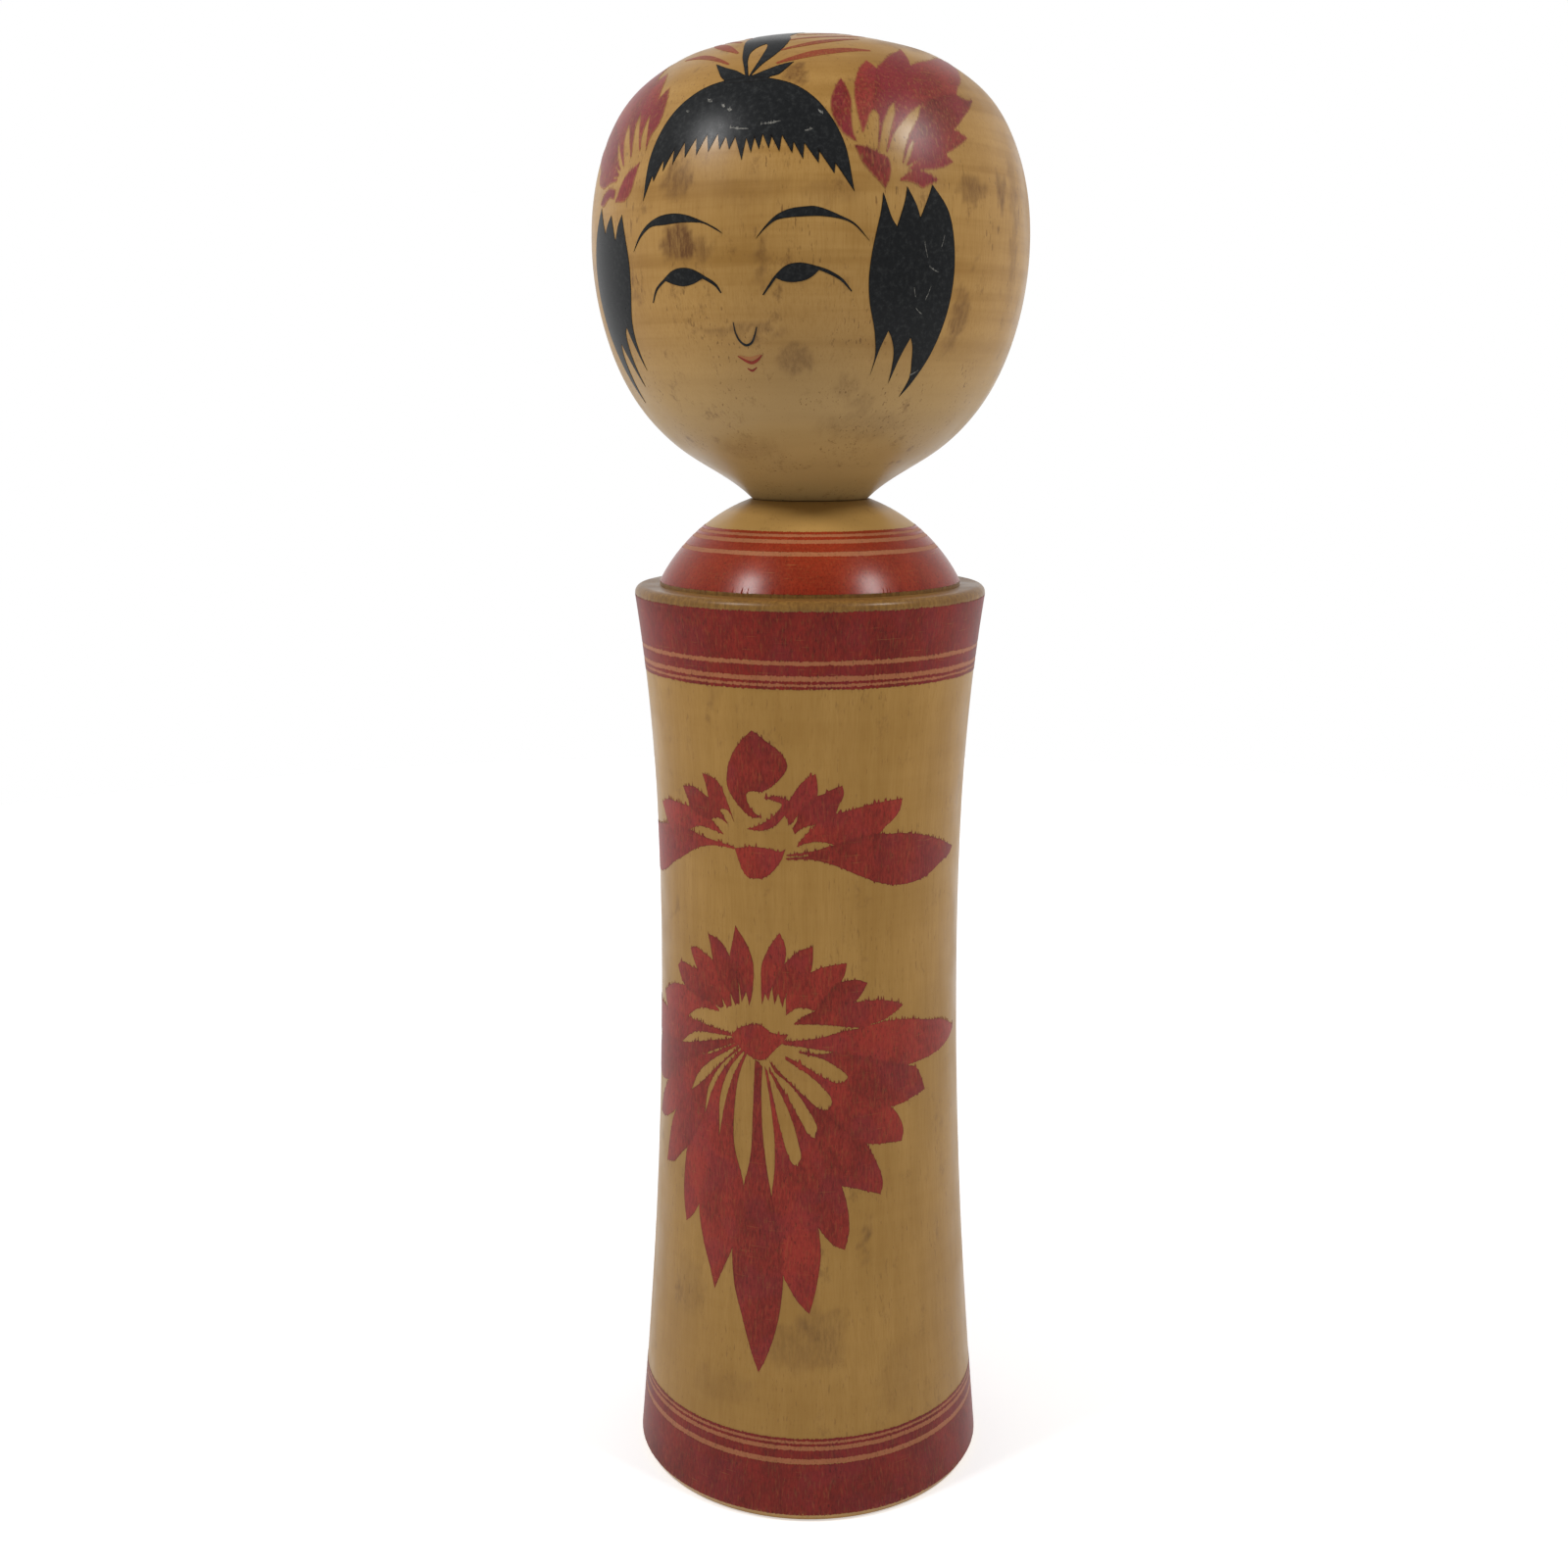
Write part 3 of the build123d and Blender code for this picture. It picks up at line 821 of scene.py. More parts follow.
TOPKNOT = [
    (
        [(-8.7, -33.8), (-6, -36), (-3.5, -37.5), (-0.8, -39.4)],
        [(0, -41)],
        [(-5.2, -40.6)],
        [(-5.6, -39.6), (-6.5, -38.5), (-7.5, -36.5), (-8.7, -33.8)],
    ),
    (
        [(7.6, -34.9), (5.5, -36), (3, -37.7), (0, -39.5)],
        [(0, -41)],
        [(3.6, -40.6)],
        [(4, -39.7), (5.7, -38.8), (6.8, -36.9), (7.6, -34.9)],
    ),
    (
        [(-0.9, -40), (-2, -36.9), (-3.2, -33.6), (-4, -30.4), (-4.7, -27), (-5.2, -23.5), (-5.7, -17),
         (-6.2, -10)],
        [(-4.6, -13), (-4, -9)],
        [(-2.8, -12.5), (-1.6, -7)],
        [(-0.4, -12), (0, -20), (0, -27.9)],
        [(-0.7, -28.6), (-1.6, -29.9), (-2.1, -31.9), (-1.8, -34.7), (-1.2, -36.9), (-0.5, -39.2),
         (-0.2, -40.4)],
        [(-0.9, -40)],
    ),
    (
        [(-0.5, -40), (-0.3, -39.2), (0.4, -36), (0.7, -32.4), (0.55, -29.1), (0, -27.9)],
        [(-0.4, -20), (-1, -13)],
        [(0.2, -7.5)],
        [(1, -12), (2, -9)],
        [(2.3, -16), (2.7, -21.9), (3.8, -24.7), (4.1, -28), (3.8, -30.8), (2.9, -33.6), (1.6, -36.1),
         (0.2, -39.2), (0.1, -40.2)],
        [(-0.5, -40)],
    ),
]
LOCK_RIGHT = (
    [(34.8, 62), (34.2, 65), (33, 69), (32, 73), (31.6, 77), (32.1, 81), (34.2, 87), (34.9, 91),
     (34.3, 94.6)],
    [(36, 89.5), (37.7, 86.2)],
    [(38.8, 87.5), (40, 90), (40.3, 93), (40.2, 96.3)],
    [(42.2, 91), (44.3, 87.4)],
    [(45.3, 89), (46, 92), (46.6, 95), (44.9, 99.2)],
    [(47.5, 96.5), (51.8, 90), (54.5, 81.5), (54.7, 73), (52.5, 65), (47.8, 60.2)],
    [(46.5, 62.5), (44.3, 66.1)],
    [(43.3, 64), (40.9, 60.8)],
    [(40.3, 63), (38.2, 67.8)],
    [(37, 66.5), (34.8, 62)],
)
LOCK_LEFT = (
    [(-36.2, 64.2), (-35, 67.5), (-33.6, 73), (-34.2, 78), (-36.7, 84.5), (-37.1, 88), (-36.5, 93.5)],
    [(-38, 90), (-40.2, 84.8)],
    [(-41.5, 86), (-42.3, 89.5), (-41.9, 96.8)],
    [(-44.6, 91.5), (-46.8, 87.8)],
    [(-48, 90), (-48.6, 94), (-49.3, 100.5)],
    [(-53, 91.5), (-55, 85), (-55.8, 78), (-55, 72), (-53, 67.5), (-48.8, 62.2)],
    [(-47.4, 64.5), (-45.5, 67.2)],
    [(-43.8, 65.4), (-41.8, 64)],
    [(-40.8, 66), (-39.6, 68.8)],
    [(-38, 66), (-36.2, 64.2)],
)
SCUFFS = [  # worn spots in the ink: a short line and its greatest width in mm
    ([(-11.2, 44.2), (-9.6, 44.7)], 0.5),
    ([(-6.4, 45.5), (-5.4, 46)], 0.45),
    ([(-4.5, 46.5), (-3.2, 46.7)], 0.5),
    ([(-17.2, 46.1), (-16.2, 46.3)], 0.4),
    ([(5, 49.8), (10, 49.3)], 0.25),
    ([(-3, 50.2), (2, 50.6)], 0.2),
    ([(16, 51.2), (18, 50.8)], 0.3),
    ([(19.4, 47.2), (20.6, 47.9)], 0.35),
    ([(45.6, 70.5), (46.6, 73)], 0.09),
    ([(47.2, 74.5), (50, 75.5)], 0.08),
    ([(48.2, 78), (47, 80.5)], 0.09),
    ([(44.6, 82), (46.4, 83)], 0.09),
    ([(50.4, 71), (51.2, 69)], 0.08),
    ([(43.5, 78.4), (44.1, 80)], 0.09),
    ([(46.4, 94.6), (48.8, 93.6)], 0.25),
]


def build_hair():
    """Fringe, topknot and the two side locks."""
    teeth = [[point] for notch_and_tip in FRINGE_TEETH for point in notch_and_tip]
    return [
        coat("fringe", HEAD_CHART, [loop(FRINGE_TOP, *teeth)], INK_LIFT, HAIR_RIM),
        coat("topknot", CROWN_CHART, [loop(*shape) for shape in TOPKNOT], INK_LIFT, TOPKNOT_RIM),
        coat("side_lock_right", HEAD_CHART, [loop(*LOCK_RIGHT)], INK_LIFT, HAIR_RIM),
        coat("side_lock_left", HEAD_CHART, [loop(*LOCK_LEFT)], INK_LIFT, HAIR_RIM),
    ]


def build_scuffs():
    marks = []
    for k, ((a, b), width) in enumerate(SCUFFS):
        middle = ((a[0] + b[0]) / 2, (a[1] + b[1]) / 2 + 0.1)
        mark = brush_line([a, middle, b], (0.1, width, 0.1), HAIR_MM_PER_DEGREE, THIN_STEP)
        marks.append(ragged(mark, HEAD_CHART, SCUFF_BLEED, 7.7 * k))
    return coat("scuffs", HEAD_CHART, marks, SCUFF_LIFT)


# ---------------------------------------------------------------- the face

BROWS = {
    "brow_left": (
        [(-31.3, 71.2), (-29, 68.7), (-26, 66.7), (-22, 65.4), (-18, 65), (-14, 65.3), (-10, 66.3),
         (-5, 68.1), (-3.5, 69)],
        [(-8.5, 67.1), (-11, 66.8), (-15, 66.7), (-20, 66.9), (-24.5, 67.1), (-28, 68.6), (-31.3, 71.2)],
    ),
    "brow_right": (
        [(4.6, 70), (6.5, 68.2), (9, 66.3), (12, 65.1), (16, 64.6), (19, 64.6), (25, 66.3), (28, 67.5),
         (31.5, 70.4)],
        [(27.5, 67.6), (25, 66.8), (20, 66.25), (16, 66.3), (12, 66.5), (9.5, 66.9), (7.5, 67.9),
         (4.6, 70)],
    ),
}
LIDS = {
    "eye_left": [
        (-25.9, 80.6), (-24, 78.3), (-21, 76.7), (-18, 75.3), (-15, 74.9), (-12, 75.3), (-9, 76.5),
        (-6, 77.9), (-4.7, 79.3),
    ],
    "eye_right": [
        (6, 79.8), (7.5, 78.3), (9.5, 76.4), (12, 74.9), (15, 74.5), (19, 75.1), (22, 75.9), (25, 77.2),
        (27.5, 79.2),
    ],
}
LID_WIDTHS = (0.24, 0.42, 0.5, 0.54, 0.58, 0.58, 0.62, 0.5, 0.22)
PUPILS = {
    "eye_left": (
        [(-21, 76.7), (-18, 75.2), (-15, 74.8), (-12, 75.2), (-9, 76.5)],
        [(-12, 77.5), (-15, 77.9), (-18, 77.5), (-21, 76.7)],
    ),
    "eye_right": (
        [(9.2, 76.8), (12, 74.8), (15, 74.4), (19.8, 75.3)],
        [(18.5, 76.3), (16.5, 77.2), (13.5, 77.6), (11, 77.4), (9.2, 76.8)],
    ),
}
# Fine lines, with their widths in mm
NOSE = (
    [(-2.2, 84.6), (-1.9, 86.5), (-1, 88), (0.6, 88.85), (2.2, 88.4), (3.2, 87), (3.9, 85.5)],
    (0.16, 0.28, 0.36, 0.44, 0.42, 0.32, 0.18),
)
LIPS = [
    ([(-2.1, 90.9), (0, 91.8), (1.6, 92.2), (3.3, 91.7), (4.7, 90.7)], (0.2, 0.5, 0.62, 0.55, 0.2)),
    ([(0.2, 93.3), (1.5, 93.75), (2.9, 93.1)], (0.2, 0.46, 0.2)),
]
LIP_FLUSH = ([(-1.6, 90.9), (1.4, 91.4), (4.3, 90.7)], (0.3, 0.7, 0.3))


def build_face():
    pieces = []
    for name, shape in BROWS.items():
        pieces.append(coat(name, HEAD_CHART, [loop(*shape)], INK_LIFT, FACE_RIM))
    for name, lid in LIDS.items():
        line = brush_line(lid, LID_WIDTHS, FACE_MM_PER_DEGREE)
        pieces.append(coat(name, HEAD_CHART, [line, loop(*PUPILS[name])], INK_LIFT, FACE_RIM))
    pieces.append(coat("nose", HEAD_CHART, [thin_line(*NOSE)], INK_LIFT))
    return pieces


def thin_line(spine, widths):
    return brush_line(spine, widths, FACE_MM_PER_DEGREE, THIN_STEP)


# ---------------------------------------------------------------- materials

def colour(red, green, blue):
    """A colour given as it looks on a screen, 0 to 255, for a shader."""
    parts = [c / 255 for c in (red, green, blue)]
    return (*[c / 12.92 if c <= 0.04045 else ((c + 0.055) / 1.055) ** 2.4 for c in parts], 1.0)


WHITE = (1.0, 1.0, 1.0, 1.0)
FLOOR_WHITE = colour(247, 247, 247)

# Waxed wood: its pale and deep colours, and how strong its streaks, turning bands, grime and freckles are
WOOD = {
    "body": dict(
        pale=colour(161, 123, 64), deep=colour(140, 103, 46),
        streaks=0.3, bands=0.15, grime=0.35, freckles=0.3,
    ),
    "head": dict(
        pale=colour(160, 124, 70), deep=colour(136, 100, 49),
        streaks=0.1, bands=0.6, grime=0.58, freckles=0.6,
    ),
}
# Paler wood above or below a height. On the body this lightens the dome's top under the head: painted light
# against the shade that the head casts there, as well as a greyer wood. On the head the lower part turns
# paler towards the chin.
PALE_AND_LIT_HEIGHTS = {"body": (196, 198), "head": (250, 228)}  # where the wood starts to get paler, and ends
PALER_AND_LIT = {"body": colour(165, 130, 74), "head": colour(160, 132, 86)}
# Brown for pores, grime, freckles and stains, and for the painted shade on the lower head.
STAIN_AND_SHADE_BROWN = colour(88, 57, 31)

# Dyes: the kind of wood they are on, and their bright and dark colours. cover is how much of the wood they
# hide, thin_streaks how much less along some fibres, violet how far they drift to purple in places, and
# watery how much less they hide along their edge.
DYES = {
    "petal_dye": dict(
        kind="body", bright=colour(145, 41, 33), dark=colour(102, 19, 16), cover=0.97, roughness=0.42,
        thin_streaks=0.12, violet=0.25,
    ),
    "band_dye": dict(
        kind="body", bright=colour(126, 28, 21), dark=colour(86, 13, 11), cover=0.98, roughness=0.42,
        thin_streaks=0.12, violet=0.2,
    ),
    "vermilion_dye": dict(
        kind="body", bright=colour(140, 44, 24), dark=colour(114, 30, 16), cover=0.97, roughness=0.27,
        thin_streaks=0.08,
    ),
    "faded_dye": dict(
        kind="head", bright=colour(130, 44, 42), dark=colour(86, 22, 25), cover=0.95, roughness=0.36,
        thin_streaks=0.3, violet=0.6, watery=0.5,
    ),
    "ribbon_dye": dict(
        kind="head", bright=colour(124, 38, 24), dark=colour(106, 30, 20), cover=0.85, roughness=0.4,
        thin_streaks=0.4,
    ),
    "lip_dye": dict(
        kind="head", bright=colour(126, 40, 28), dark=colour(98, 28, 20), cover=0.97, roughness=0.4
    ),
    "flush_dye": dict(
        kind="head", bright=colour(150, 84, 52), dark=colour(140, 76, 46), cover=0.6, roughness=0.4
    ),
    "blush_dye": dict(
        kind="body", bright=colour(158, 92, 64), dark=colour(140, 78, 52), cover=0.85, roughness=0.42,
        thin_streaks=0.1,
    ),
}
DYE_VIOLET = colour(112, 30, 46)
DYE_IN_PORES = colour(48, 10, 10)
DYE_TWICE = colour(58, 12, 12)
DYE_EDGE = colour(66, 12, 12)
INK = colour(28, 29, 30)
INK_DUST = colour(48, 49, 49)
INK_SCRATCH = colour(72, 72, 68)
INK_EDGE = colour(15, 10, 7)
SCUFF_DARK = colour(56, 56, 54)
SCUFF_PALE = colour(116, 114, 108)


class Nodes:
    """A node tree, with short ways to add to it."""

    def __init__(self, tree):
        self.tree = tree

    def add(self, kind, **settings):
        node = self.tree.nodes.new(f"ShaderNode{kind}")
        for name, value in settings.items():
            setattr(node, name, value)
        return node

    def link(self, value, socket):
        if hasattr(value, "is_linked"):
            self.tree.links.new(value, socket)
        else:
            socket.default_value = value

    def maths(self, operation, a, b):
        node = self.add("Math", operation=operation)
        self.link(a, node.inputs[0])
        self.link(b, node.inputs[1])
        return node.outputs[0]

    def vector_maths(self, operation, a, b, output):
        node = self.add("VectorMath", operation=operation)
        self.link(a, node.inputs[0])
        self.link(b, node.inputs[1])
        return node.outputs[output]

    def upward(self, vector):
        """A vector's Z."""
        node = self.add("SeparateXYZ")
        self.link(vector, node.inputs["Vector"])
        return node.outputs["Z"]

    def ramp(self, value, low, high, out_low=0.0, out_high=1.0):
        """value from low to high, smoothly turned into out_low to out_high."""
        node = self.add("MapRange", interpolation_type="SMOOTHSTEP")
        for side, given, made in (("Min", low, out_low), ("Max", high, out_high)):
            node.inputs[f"From {side}"].default_value = given
            node.inputs[f"To {side}"].default_value = made
        self.link(value, node.inputs["Value"])
        return node.outputs["Result"]

    def mix(self, share, a, b):
        node = self.add("Mix", data_type="RGBA")
        self.link(share, node.inputs["Factor"])
        self.link(a, node.inputs["A"])
        self.link(b, node.inputs["B"])
        return node.outputs["Result"]


class Shader(Nodes):
    """A new material's nodes. Sizes and heights are in mm."""

    def __init__(self, name, roughness, specular=0.16):
        self.material = bpy.data.materials.new(name)
        self.material.use_nodes = True
        super().__init__(self.material.node_tree)
        self.principled = self.tree.nodes["Principled BSDF"]
        self.principled.inputs["Roughness"].default_value = roughness
        self.principled.inputs["Specular IOR Level"].default_value = specular
        self.place = self.add("TexCoord").outputs["Object"]

    def noise(self, size, detail=2.0, roughness=0.5, offset=0.0):
        """Noise from 0 to 1 whose features are about size = (x, y, z) big."""
        mapping = self.add("Mapping")
        mapping.inputs["Scale"].default_value = [1 / (s * MM) for s in size]
        mapping.inputs["Location"].default_value = [offset] * 3
        self.link(self.place, mapping.inputs["Vector"])
        texture = self.add("TexNoise")
        for name, value in (("Scale", 1.0), ("Detail", detail), ("Roughness", roughness)):
            texture.inputs[name].default_value = value
        self.link(mapping.outputs["Vector"], texture.inputs["Vector"])
        return texture.outputs["Fac"]

    def attribute(self, name):
        return self.add("Attribute", attribute_name=name).outputs["Fac"]

    def bump(self, height, depth, strength):
        node = self.add("Bump")
        node.inputs["Distance"].default_value = depth * MM
        node.inputs["Strength"].default_value = strength
        self.link(height, node.inputs["Height"])
        self.link(node.outputs["Normal"], self.principled.inputs["Normal"])

    def finish(self, base, roughness=None):
        self.link(base, self.principled.inputs["Base Color"])
        if roughness is not None:
            self.link(roughness, self.principled.inputs["Roughness"])
        return self.material


FIBRES = dict(size=(0.35, 0.35, 6), detail=3)
FIBRE_RELIEF = 0.03


def aged_wood(s, kind):
    """The colour of old waxed dogwood, with painted light and shade in places, and how its fibres stand up.
    """
    tone = WOOD[kind]
    fibres = s.noise(**FIBRES)
    streaks = s.noise((2.2, 2.2, 55), 3, 0.6, offset=3.3)
    clouds = s.noise((22, 22, 30), 3, 0.6, offset=7.7)
    turning = s.noise((70, 70, 3.2), 3, 0.6, offset=11.1)
    share = s.maths("ADD", s.ramp(streaks, 0.3, 0.7, 0, tone["streaks"]), s.ramp(clouds, 0.3, 0.7, 0, 0.5))
    share = s.maths("ADD", share, s.ramp(turning, 0.35, 0.7, 0, tone["bands"]))
    base = s.mix(share, tone["pale"], tone["deep"])
    base = s.mix(s.ramp(fibres, 0.4, 0.72, 0, 0.4), base, tone["deep"])
    # Paler wood by height: painted light on the body's dome under the head, and on the head paler towards
    # the chin.
    height = s.maths("MULTIPLY", s.upward(s.place), 1 / MM)
    base = s.mix(s.ramp(height, *PALE_AND_LIT_HEIGHTS[kind], 0, 0.7), base, PALER_AND_LIT[kind])
    pores = s.ramp(s.noise((0.28, 0.28, 2.2), 1, offset=5.1), 0.69, 0.78, 0, 0.35)
    base = s.mix(pores, base, STAIN_AND_SHADE_BROWN)
    grime = s.ramp(s.noise((5, 5, 8), 5, 0.75, offset=1.9), 0.56, 0.74, 0, tone["grime"])
    base = s.mix(grime, base, STAIN_AND_SHADE_BROWN)
    freckles = s.ramp(s.noise((0.5, 0.5, 2.8), 2, 0.6, offset=21.3), 0.615, 0.69, 0, tone["freckles"])
    freckled = s.ramp(s.noise((10, 10, 13), 2, offset=23.8), 0.46, 0.58)
    base = s.mix(s.maths("MULTIPLY", freckles, freckled), base, STAIN_AND_SHADE_BROWN)
    # The stains darken the wood, and on the lower head they are also painted shade.
    broken = s.ramp(s.noise((0.7, 0.7, 3.4), 5, 0.75, offset=2.6), 0.36, 0.62, 0.5, 1)
    spot = s.maths("MULTIPLY", s.attribute("stain_and_shade"), broken)
    base = s.mix(s.maths("MULTIPLY", spot, 0.8), base, STAIN_AND_SHADE_BROWN)
    return base, fibres


def wood_material(kind):
    s = Shader(f"{kind}_wood", roughness=0.4)
    base, fibres = aged_wood(s, kind)
    s.bump(fibres, FIBRE_RELIEF, 0.25)
    wear = s.noise((9, 9, 14), 3, offset=4.4)
    return s.finish(base, s.ramp(wear, 0.3, 0.7, 0.28, 0.4))


def dye_material(name, kind, bright, dark, cover, roughness, thin_streaks=0.0, violet=0.0, watery=0.0):
    """Red dye that sank into the wood: darker in the pores, along its edge and where strokes overlap."""
    s = Shader(name, roughness)
    wood, fibres = aged_wood(s, kind)
    mottle = s.noise((0.45, 0.45, 1.6), 3, 0.6, offset=8.2)
    pools = s.noise((6, 6, 12), 2, offset=6.4)
    shade = s.maths("ADD", s.ramp(mottle, 0.3, 0.7, 0, 0.6), s.ramp(pools, 0.3, 0.7, 0, 0.4))
    shade = s.maths("ADD", shade, s.ramp(s.attribute("tone"), 0, 1, -0.2, 0.2))
    red = s.mix(shade, bright, dark)
    red = s.mix(s.ramp(s.noise((8, 8, 8), 2, offset=18.1), 0.45, 0.62, 0, violet), red, DYE_VIOLET)
    pits = s.ramp(s.noise((0.25, 0.25, 1.1), 1, offset=9.3), 0.6, 0.72, 0, 0.55)
    red = s.mix(pits, red, DYE_IN_PORES)
    twice = s.ramp(s.attribute("layers"), 1, 2, 0, 0.14)
    red = s.mix(twice, red, DYE_TWICE)
    edge = s.attribute("rim")
    red = s.mix(s.ramp(edge, 0.2, 1.0, 0, 0.0 if watery else 0.4), red, DYE_EDGE)
    full = s.ramp(s.noise((0.4, 0.4, 2.4), 2, offset=12.7), 0.25, 0.5, cover - thin_streaks, cover)
    full = s.maths("MULTIPLY", full, s.ramp(edge, 0.0, 1.0, 1.0, 1.0 - watery))
    scratched = s.ramp(s.noise((7, 7, 0.22), 2, 0.6, offset=15.5), 0.66, 0.76, 0, 0.3)
    base = s.mix(s.maths("MULTIPLY", full, s.maths("SUBTRACT", 1.0, scratched)), wood, red)
    s.bump(fibres, FIBRE_RELIEF, 0.2)
    return s.finish(base)


def ink_material():
    """Black ink: bluish and a little dusty inside, brown-black where it dried along its edge."""
    s = Shader("ink", roughness=0.34, specular=0.07)
    dust = s.noise((0.9, 0.9, 0.9), 4, 0.7, offset=3.9)
    base = s.mix(s.ramp(dust, 0.45, 0.8), INK, INK_DUST)
    scratches = s.ramp(s.noise((0.25, 0.25, 3), 2, 0.7, offset=14.2), 0.7, 0.76, 0, 0.35)
    base = s.mix(scratches, base, INK_SCRATCH)
    base = s.mix(s.ramp(s.attribute("rim"), 0.25, 1.0), base, INK_EDGE)
    s.bump(s.noise(**FIBRES), FIBRE_RELIEF, 0.15)
    return s.finish(base, s.ramp(dust, 0.3, 0.7, 0.27, 0.35))


def scuff_material():
    """Ink worn thin, to a dull grey."""
    s = Shader("scuffed_ink", roughness=0.6, specular=0.1)
    rubbed = s.noise((0.5, 0.5, 0.5), 3, 0.7, offset=17.3)
    return s.finish(s.mix(s.ramp(rubbed, 0.35, 0.65), SCUFF_DARK, SCUFF_PALE))


# ---------------------------------------------------------------- assembly

# Bands as (lower edge, upper edge). The blushes are where dye ran thinly between the bands.
CHEST_BANDS = [(183.95, 193.6), (180.95, 183.05), (179.4, 179.95), (178.25, 178.85)]
BASE_BANDS = [(1.55, 12.95), (14.15, 16.0), (16.95, 17.5), (18.1, 18.65)]
DOME_BANDS = [(196.35, 203.3), (204.1, 205.6), (206.3, 206.8), (207.3, 207.75)]
BLUSHES = [(12.95, 18.5), (178.4, 184.0), (203.2, 207.6)]


def paint(piece, material, body_name):
    piece.data.materials.append(material)
    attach(piece, body_name)


def build_wood():
    """The two turned pieces, each in place of its CAD node."""
    for surface in (body, head):
        piece = surface.build(f"{surface.node}_wood")
        x, y, z = np.array([v.co for v in piece.data.vertices]).T / MM
        angle = np.arctan2(x, -y)
        if surface is body:
            home = np.column_stack([angle * BODY_CHART_RADIUS, z])
        else:
            home = np.column_stack([np.degrees(angle), head.depth_of(z)])
        give(piece, "stain_and_shade", stain_and_shade(home, surface.node))
        paint(piece, wood_material(surface.node), surface.node)
        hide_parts(surface.node)


def build_paint():
    dyes = {name: dye_material(name, **look) for name, look in DYES.items()}
    right = (TEMPLE_PETALS, TEMPLE_GAPS, TEMPLE_SINGLES, OVERLAP, 70.9)
    left = (TEMPLE_LEFT_PETALS, TEMPLE_LEFT_GAPS, TEMPLE_LEFT_SINGLES, -OVERLAP, 90.2)
    for piece, dye, body_name in (
        (bands("band_blush", BLUSHES, 0.2, 130, BLUSH_LIFT), "blush_dye", "body"),
        (bands("chest_bands", CHEST_BANDS, 0.34, 1), "band_dye", "body"),
        (bands("base_bands", BASE_BANDS, 0.25, 50), "band_dye", "body"),
        (bands("dome_bands", DOME_BANDS, 0.12, 90), "vermilion_dye", "body"),
        (build_lower_flower(), "petal_dye", "body"),
        (build_upper_flower(), "petal_dye", "body"),
        (build_temple_flower("temple_flower_right", *right), "faded_dye", "head"),
        (build_temple_flower("temple_flower_left", *left), "faded_dye", "head"),
        (build_ribbons(), "ribbon_dye", "head"),
        (coat("mouth", HEAD_CHART, [thin_line(*lip) for lip in LIPS], DYE_LIFT), "lip_dye", "head"),
        (coat("mouth_flush", HEAD_CHART, [thin_line(*LIP_FLUSH)], FLUSH_LIFT), "flush_dye", "head"),
    ):
        paint(piece, dyes[dye], body_name)
    ink = ink_material()
    for piece in (*build_hair(), *build_face()):
        paint(piece, ink, "head")
    paint(build_scuffs(), scuff_material(), "head")


# ---------------------------------------------------------------- camera, light and floor

# Lengths here are in metres, and angles in degrees. The camera stands to the doll's left of its face.
CAMERA_TURN = 17.5
CAMERA_DISTANCE = 0.37758
CAMERA_HEIGHT = 0.23328
CAMERA_PITCH = 12.1196
CAMERA_YAW = 0.8177
CAMERA_ROLL = 0.054
LENS = 41.103
SENSOR = 36.0
CLIPPING = (0.01, 20.0)
TENT_BACK = 1.0
TENT_FRONT = 0.3
TENT_SIDES = (-0.45, 0.7)  # where the back turns into the front, as the cosine of the angle from the camera
TENT_TOP = 0.35
TENT_SHOULDER = (0.35, 0.85)  # where the sides turn into the top, as the sine of the elevation
LAMPS = [  # name, degrees to the camera's right, distance, height, size, watts
    ("lamp_left", -57, 0.28, 0.475, 0.07, 0.9),
    ("lamp_right", 58, 0.28, 0.48, 0.07, 0.75),
]
LAMPS_AIM = Vector((0, 0, 0.2))
FLOOR_RADIUS = 0.8
FLOOR_CORNERS = 96
FLOOR_GLOW = (0.45, 0.75)  # near the doll, and far from it
FLOOR_GLOW_DISTANCES = (0.15, 0.6)
FLOOR_DROP = 0.0001


def place_camera():
    data = bpy.data.cameras.new("camera")
    data.lens = LENS
    data.sensor_width = SENSOR
    data.clip_start, data.clip_end = CLIPPING
    camera = bpy.data.objects.new("camera", data)
    camera.location = around(math.radians(CAMERA_TURN), CAMERA_DISTANCE, CAMERA_HEIGHT)
    angles = (90 - CAMERA_PITCH, CAMERA_ROLL, CAMERA_TURN + CAMERA_YAW)
    camera.rotation_euler = [math.radians(a) for a in angles]
    bpy.context.scene.collection.objects.link(camera)
    bpy.context.scene.camera = camera


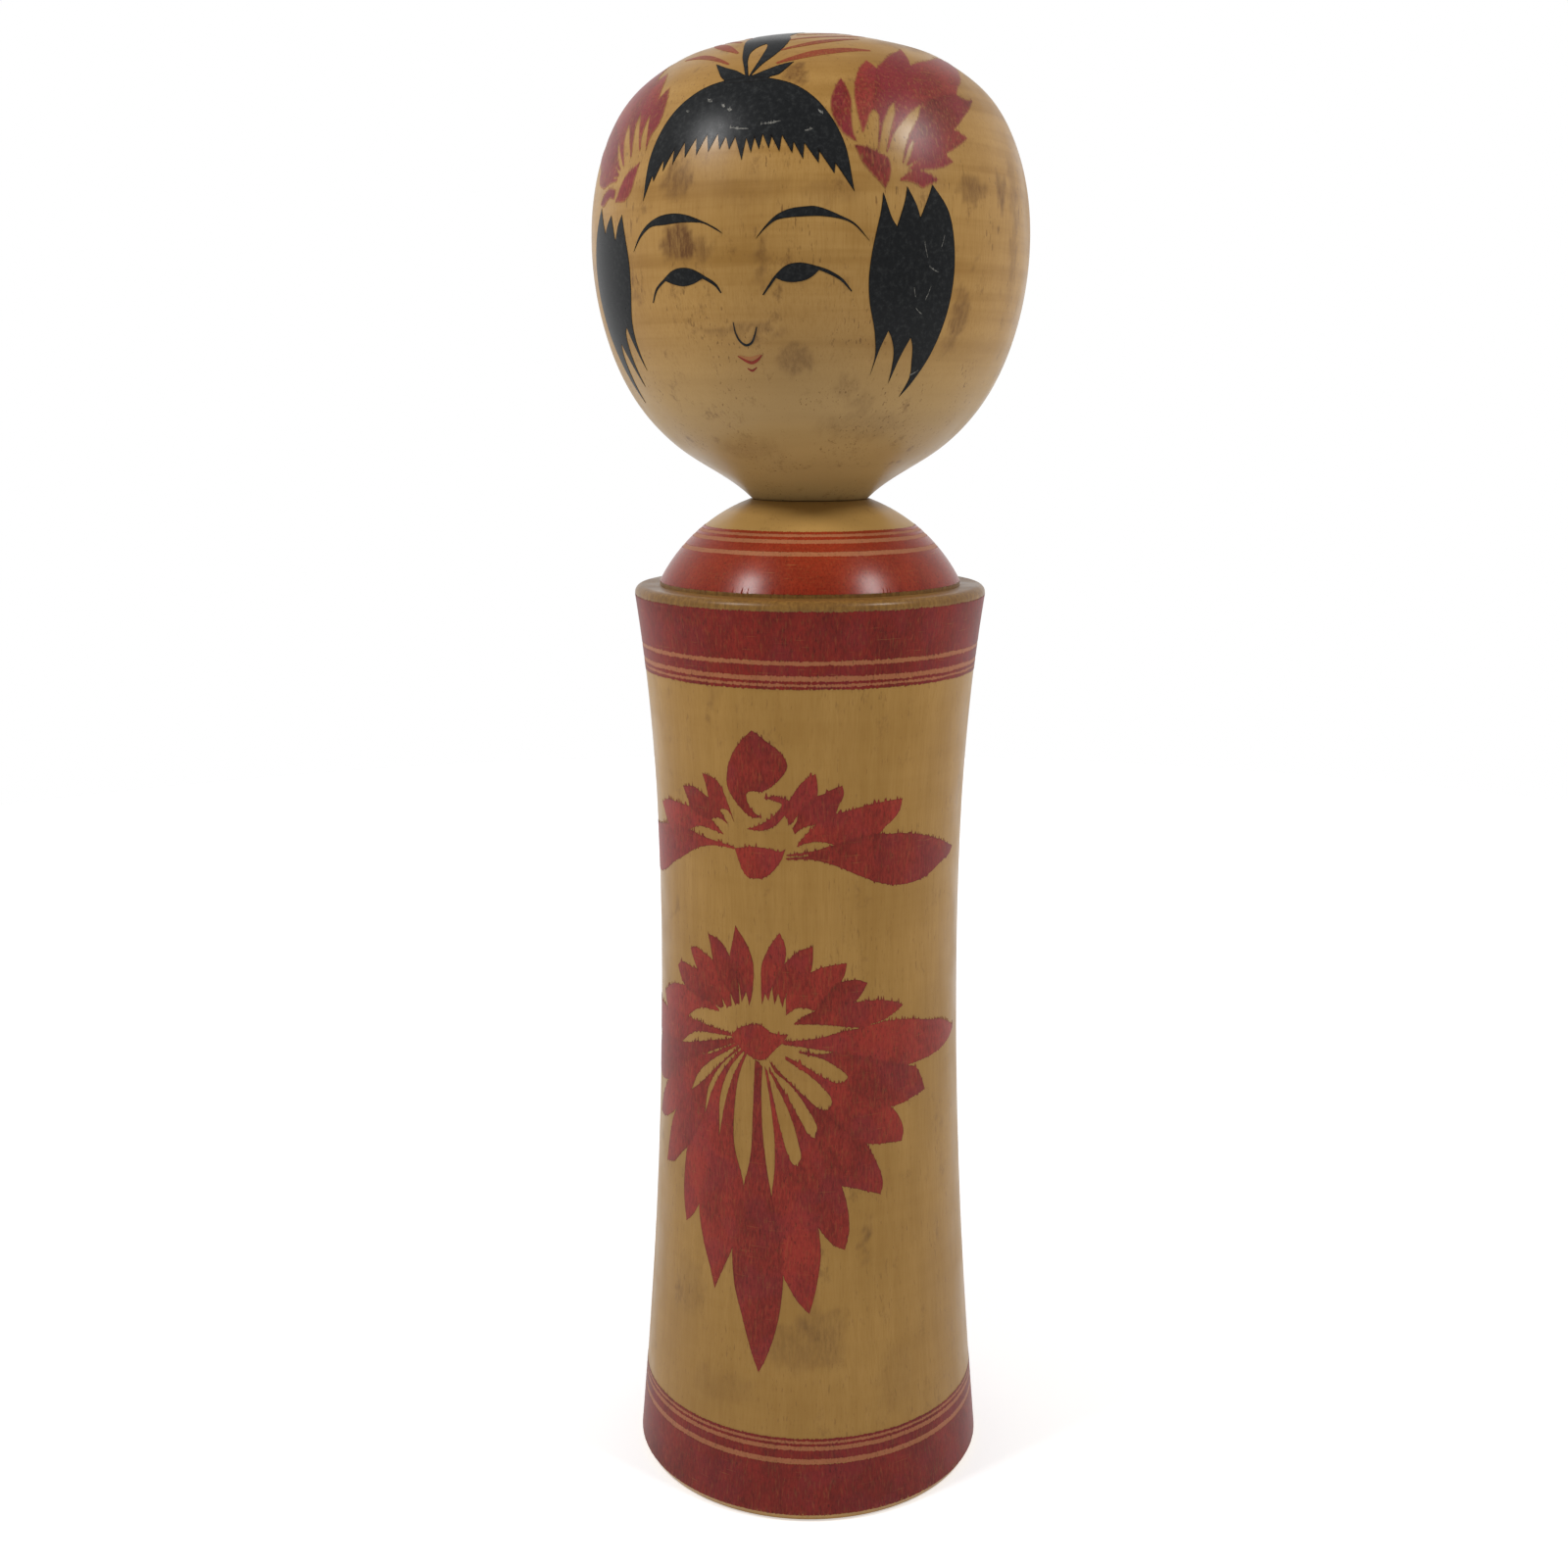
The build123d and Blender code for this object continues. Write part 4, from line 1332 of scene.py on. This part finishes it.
def lamp(name, azimuth, distance, height, size, power):
    """A small square lamp aimed at the doll."""
    data = bpy.data.lights.new(name, "AREA")
    data.shape = "SQUARE"
    data.size = size
    data.energy = power
    light = bpy.data.objects.new(name, data)
    light.location = around(math.radians(CAMERA_TURN + azimuth), distance, height)
    light.rotation_mode = "QUATERNION"
    light.rotation_quaternion = (light.location - LAMPS_AIM).to_track_quat("Z", "Y")
    bpy.context.scene.collection.objects.link(light)


def light_scene():
    """A white light tent, dimmer above and on the camera's side, with a lamp at its top on either side."""
    world = bpy.data.worlds.new("world")
    world.use_nodes = True
    n = Nodes(world.node_tree)
    direction = n.add("TexCoord").outputs["Generated"]
    facing = n.vector_maths("DOT_PRODUCT", direction, around(math.radians(CAMERA_TURN), 1.0, 0.0), "Value")
    sides = n.ramp(facing, *TENT_SIDES, TENT_BACK, TENT_FRONT)
    top = n.ramp(n.upward(direction), *TENT_SHOULDER, 1.0, TENT_TOP)
    seen_directly = n.add("LightPath").outputs["Is Camera Ray"]
    strength = n.maths("MAXIMUM", n.maths("MULTIPLY", sides, top), seen_directly)
    background = n.tree.nodes["Background"]
    n.link(WHITE, background.inputs["Color"])
    n.link(strength, background.inputs["Strength"])
    bpy.context.scene.world = world
    for setting in LAMPS:
        lamp(*setting)
    bpy.context.scene.view_settings.view_transform = "Standard"


def lay_floor():
    """The tent's round white floor, which glows a little."""
    turns = np.linspace(0, 2 * math.pi, FLOOR_CORNERS, endpoint=False)
    edge = [(FLOOR_RADIUS * math.cos(t), FLOOR_RADIUS * math.sin(t), 0) for t in turns]
    mesh = bpy.data.meshes.new("floor")
    mesh.from_pydata(edge, [], [range(len(edge))])
    floor = bpy.data.objects.new("floor", mesh)
    floor.location.z = -FLOOR_DROP
    s = Shader("floor_paint", roughness=0.8)
    s.link(WHITE, s.principled.inputs["Emission Color"])
    away = s.vector_maths("LENGTH", s.place, (0, 0, 0), "Value")
    s.link(s.ramp(away, *FLOOR_GLOW_DISTANCES, *FLOOR_GLOW), s.principled.inputs["Emission Strength"])
    floor.data.materials.append(s.finish(FLOOR_WHITE))
    bpy.context.scene.collection.objects.link(floor)


place_camera()
light_scene()
lay_floor()
build_wood()
build_paint()
